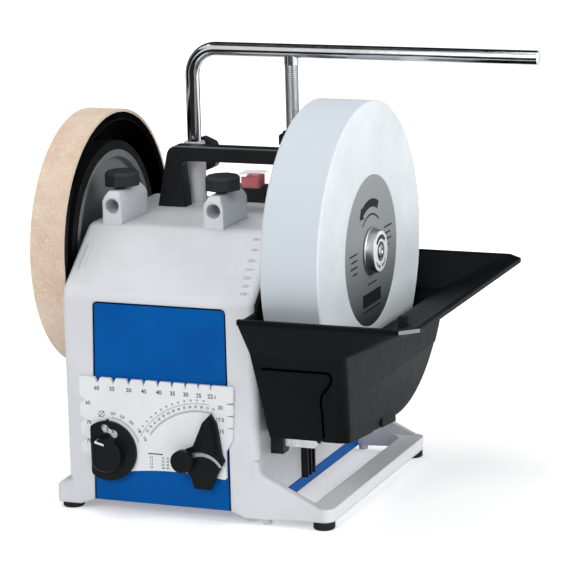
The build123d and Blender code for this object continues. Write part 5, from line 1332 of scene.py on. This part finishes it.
def cross_head(radius, height, shank, length):
    """Screw along Z with its seat at the origin: shank below, pan head with a cross above."""
    shape = bmesh.new()
    outline = [
        (shank, -length), (shank, 0), (radius, 0), (radius, 0.5 * height),
        (0.84 * radius, 0.9 * height), (0.68 * radius, height),
    ]
    corners = [around(CENTRE, 1, 360 * k / HEAD_SIDES) for k in range(HEAD_SIDES)]
    rings = [[shape.verts.new((r * x, r * y, z)) for x, y in corners] for r, z in outline]
    shape.faces.new(reversed(rings[0]))
    for low, high in zip(rings, rings[1:]):
        for k in range(HEAD_SIDES):
            after = (k + 1) % HEAD_SIDES
            shape.faces.new((low[k], low[after], high[after], high[k]))
    arm, half = 0.5 * radius, 0.13 * radius
    corner = [(arm, -half), (arm, half), (half, half)]
    quarters = ((1, 0), (0, 1), (-1, 0), (0, -1))
    cross = [(x * c - y * s, x * s + y * c) for c, s in quarters for x, y in corner]
    mouth = [shape.verts.new((x, y, height)) for x, y in cross]
    floor = [shape.verts.new((0.7 * x, 0.7 * y, 0.35 * height)) for x, y in cross]
    for k in range(len(cross)):
        after = (k + 1) % len(cross)
        shape.faces.new((mouth[k], mouth[after], floor[after], floor[k]))
    shape.faces.new(floor)
    rims = []
    for loop in (rings[-1], mouth):
        rims += [shape.edges.get((loop[k - 1], loop[k])) for k in range(len(loop))]
    bmesh.ops.triangle_fill(shape, edges=rims, use_beauty=True)
    bmesh.ops.recalc_face_normals(shape, faces=shape.faces)
    return mesh_from(shape, "cross_head")


print("screw pattern ready")

# %% Rows of screws
screws, given, result = new_tree("screw_row", {"Screw": "Object", "Material": "Material"})
points = add_node(screws, "GeometryNodeMeshToPoints", {0: given["Geometry"]})
pattern = add_node(screws, "GeometryNodeObjectInfo", {"Object": given["Screw"]})
row = add_node(screws, "GeometryNodeInstanceOnPoints", {
    "Points": points.outputs[0], "Instance": pattern.outputs["Geometry"],
})
close_tree(screws, row.outputs[0], given, result)


def screw_row(name, spots, screw, axis, node):
    """Copies of one screw at several places, standing for a CAD node of plain screws."""
    screw.transform(axis @ TO_METRES)
    pattern = new_object("screw_pattern", screw)
    mesh = grow(name, mesh_of(name, spots, []), screws, {"Screw": pattern, "Material": zinc_plate})
    bpy.data.objects.remove(pattern)
    return add_piece(name, mesh, "housing", hides=[node])


SHANK = 1.5
PANEL_HEAD_R, PANEL_HEAD_H = 3.2, 2.0
low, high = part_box("panel_screws")
inset = PANEL_HEAD_R * MM
seat = high.y - PANEL_HEAD_H * MM
spots = [(x, seat, z) for x in (low.x + inset, high.x - inset) for z in (low.z + inset, high.z - inset)]
screw = cross_head(PANEL_HEAD_R, PANEL_HEAD_H, SHANK, (seat - low.y) / MM)
screw_row("panel_cross_screws", spots, screw, ALONG_Y, "panel_screws")

REST_HEAD_R, REST_HEAD_H = 2.6, 1.5
low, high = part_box("rest_screws")
inset = REST_HEAD_R * MM
seat = high.x - REST_HEAD_H * MM
spots = [(seat, y, (low.z + high.z) / 2) for y in (low.y + inset, high.y - inset)]
screw = cross_head(REST_HEAD_R, REST_HEAD_H, SHANK, (seat - low.x) / MM)
screw_row("rest_cross_screws", spots, screw, ALONG_X, "rest_screws")

# %% Finish
bpy.context.scene.view_settings.view_transform = "Standard"
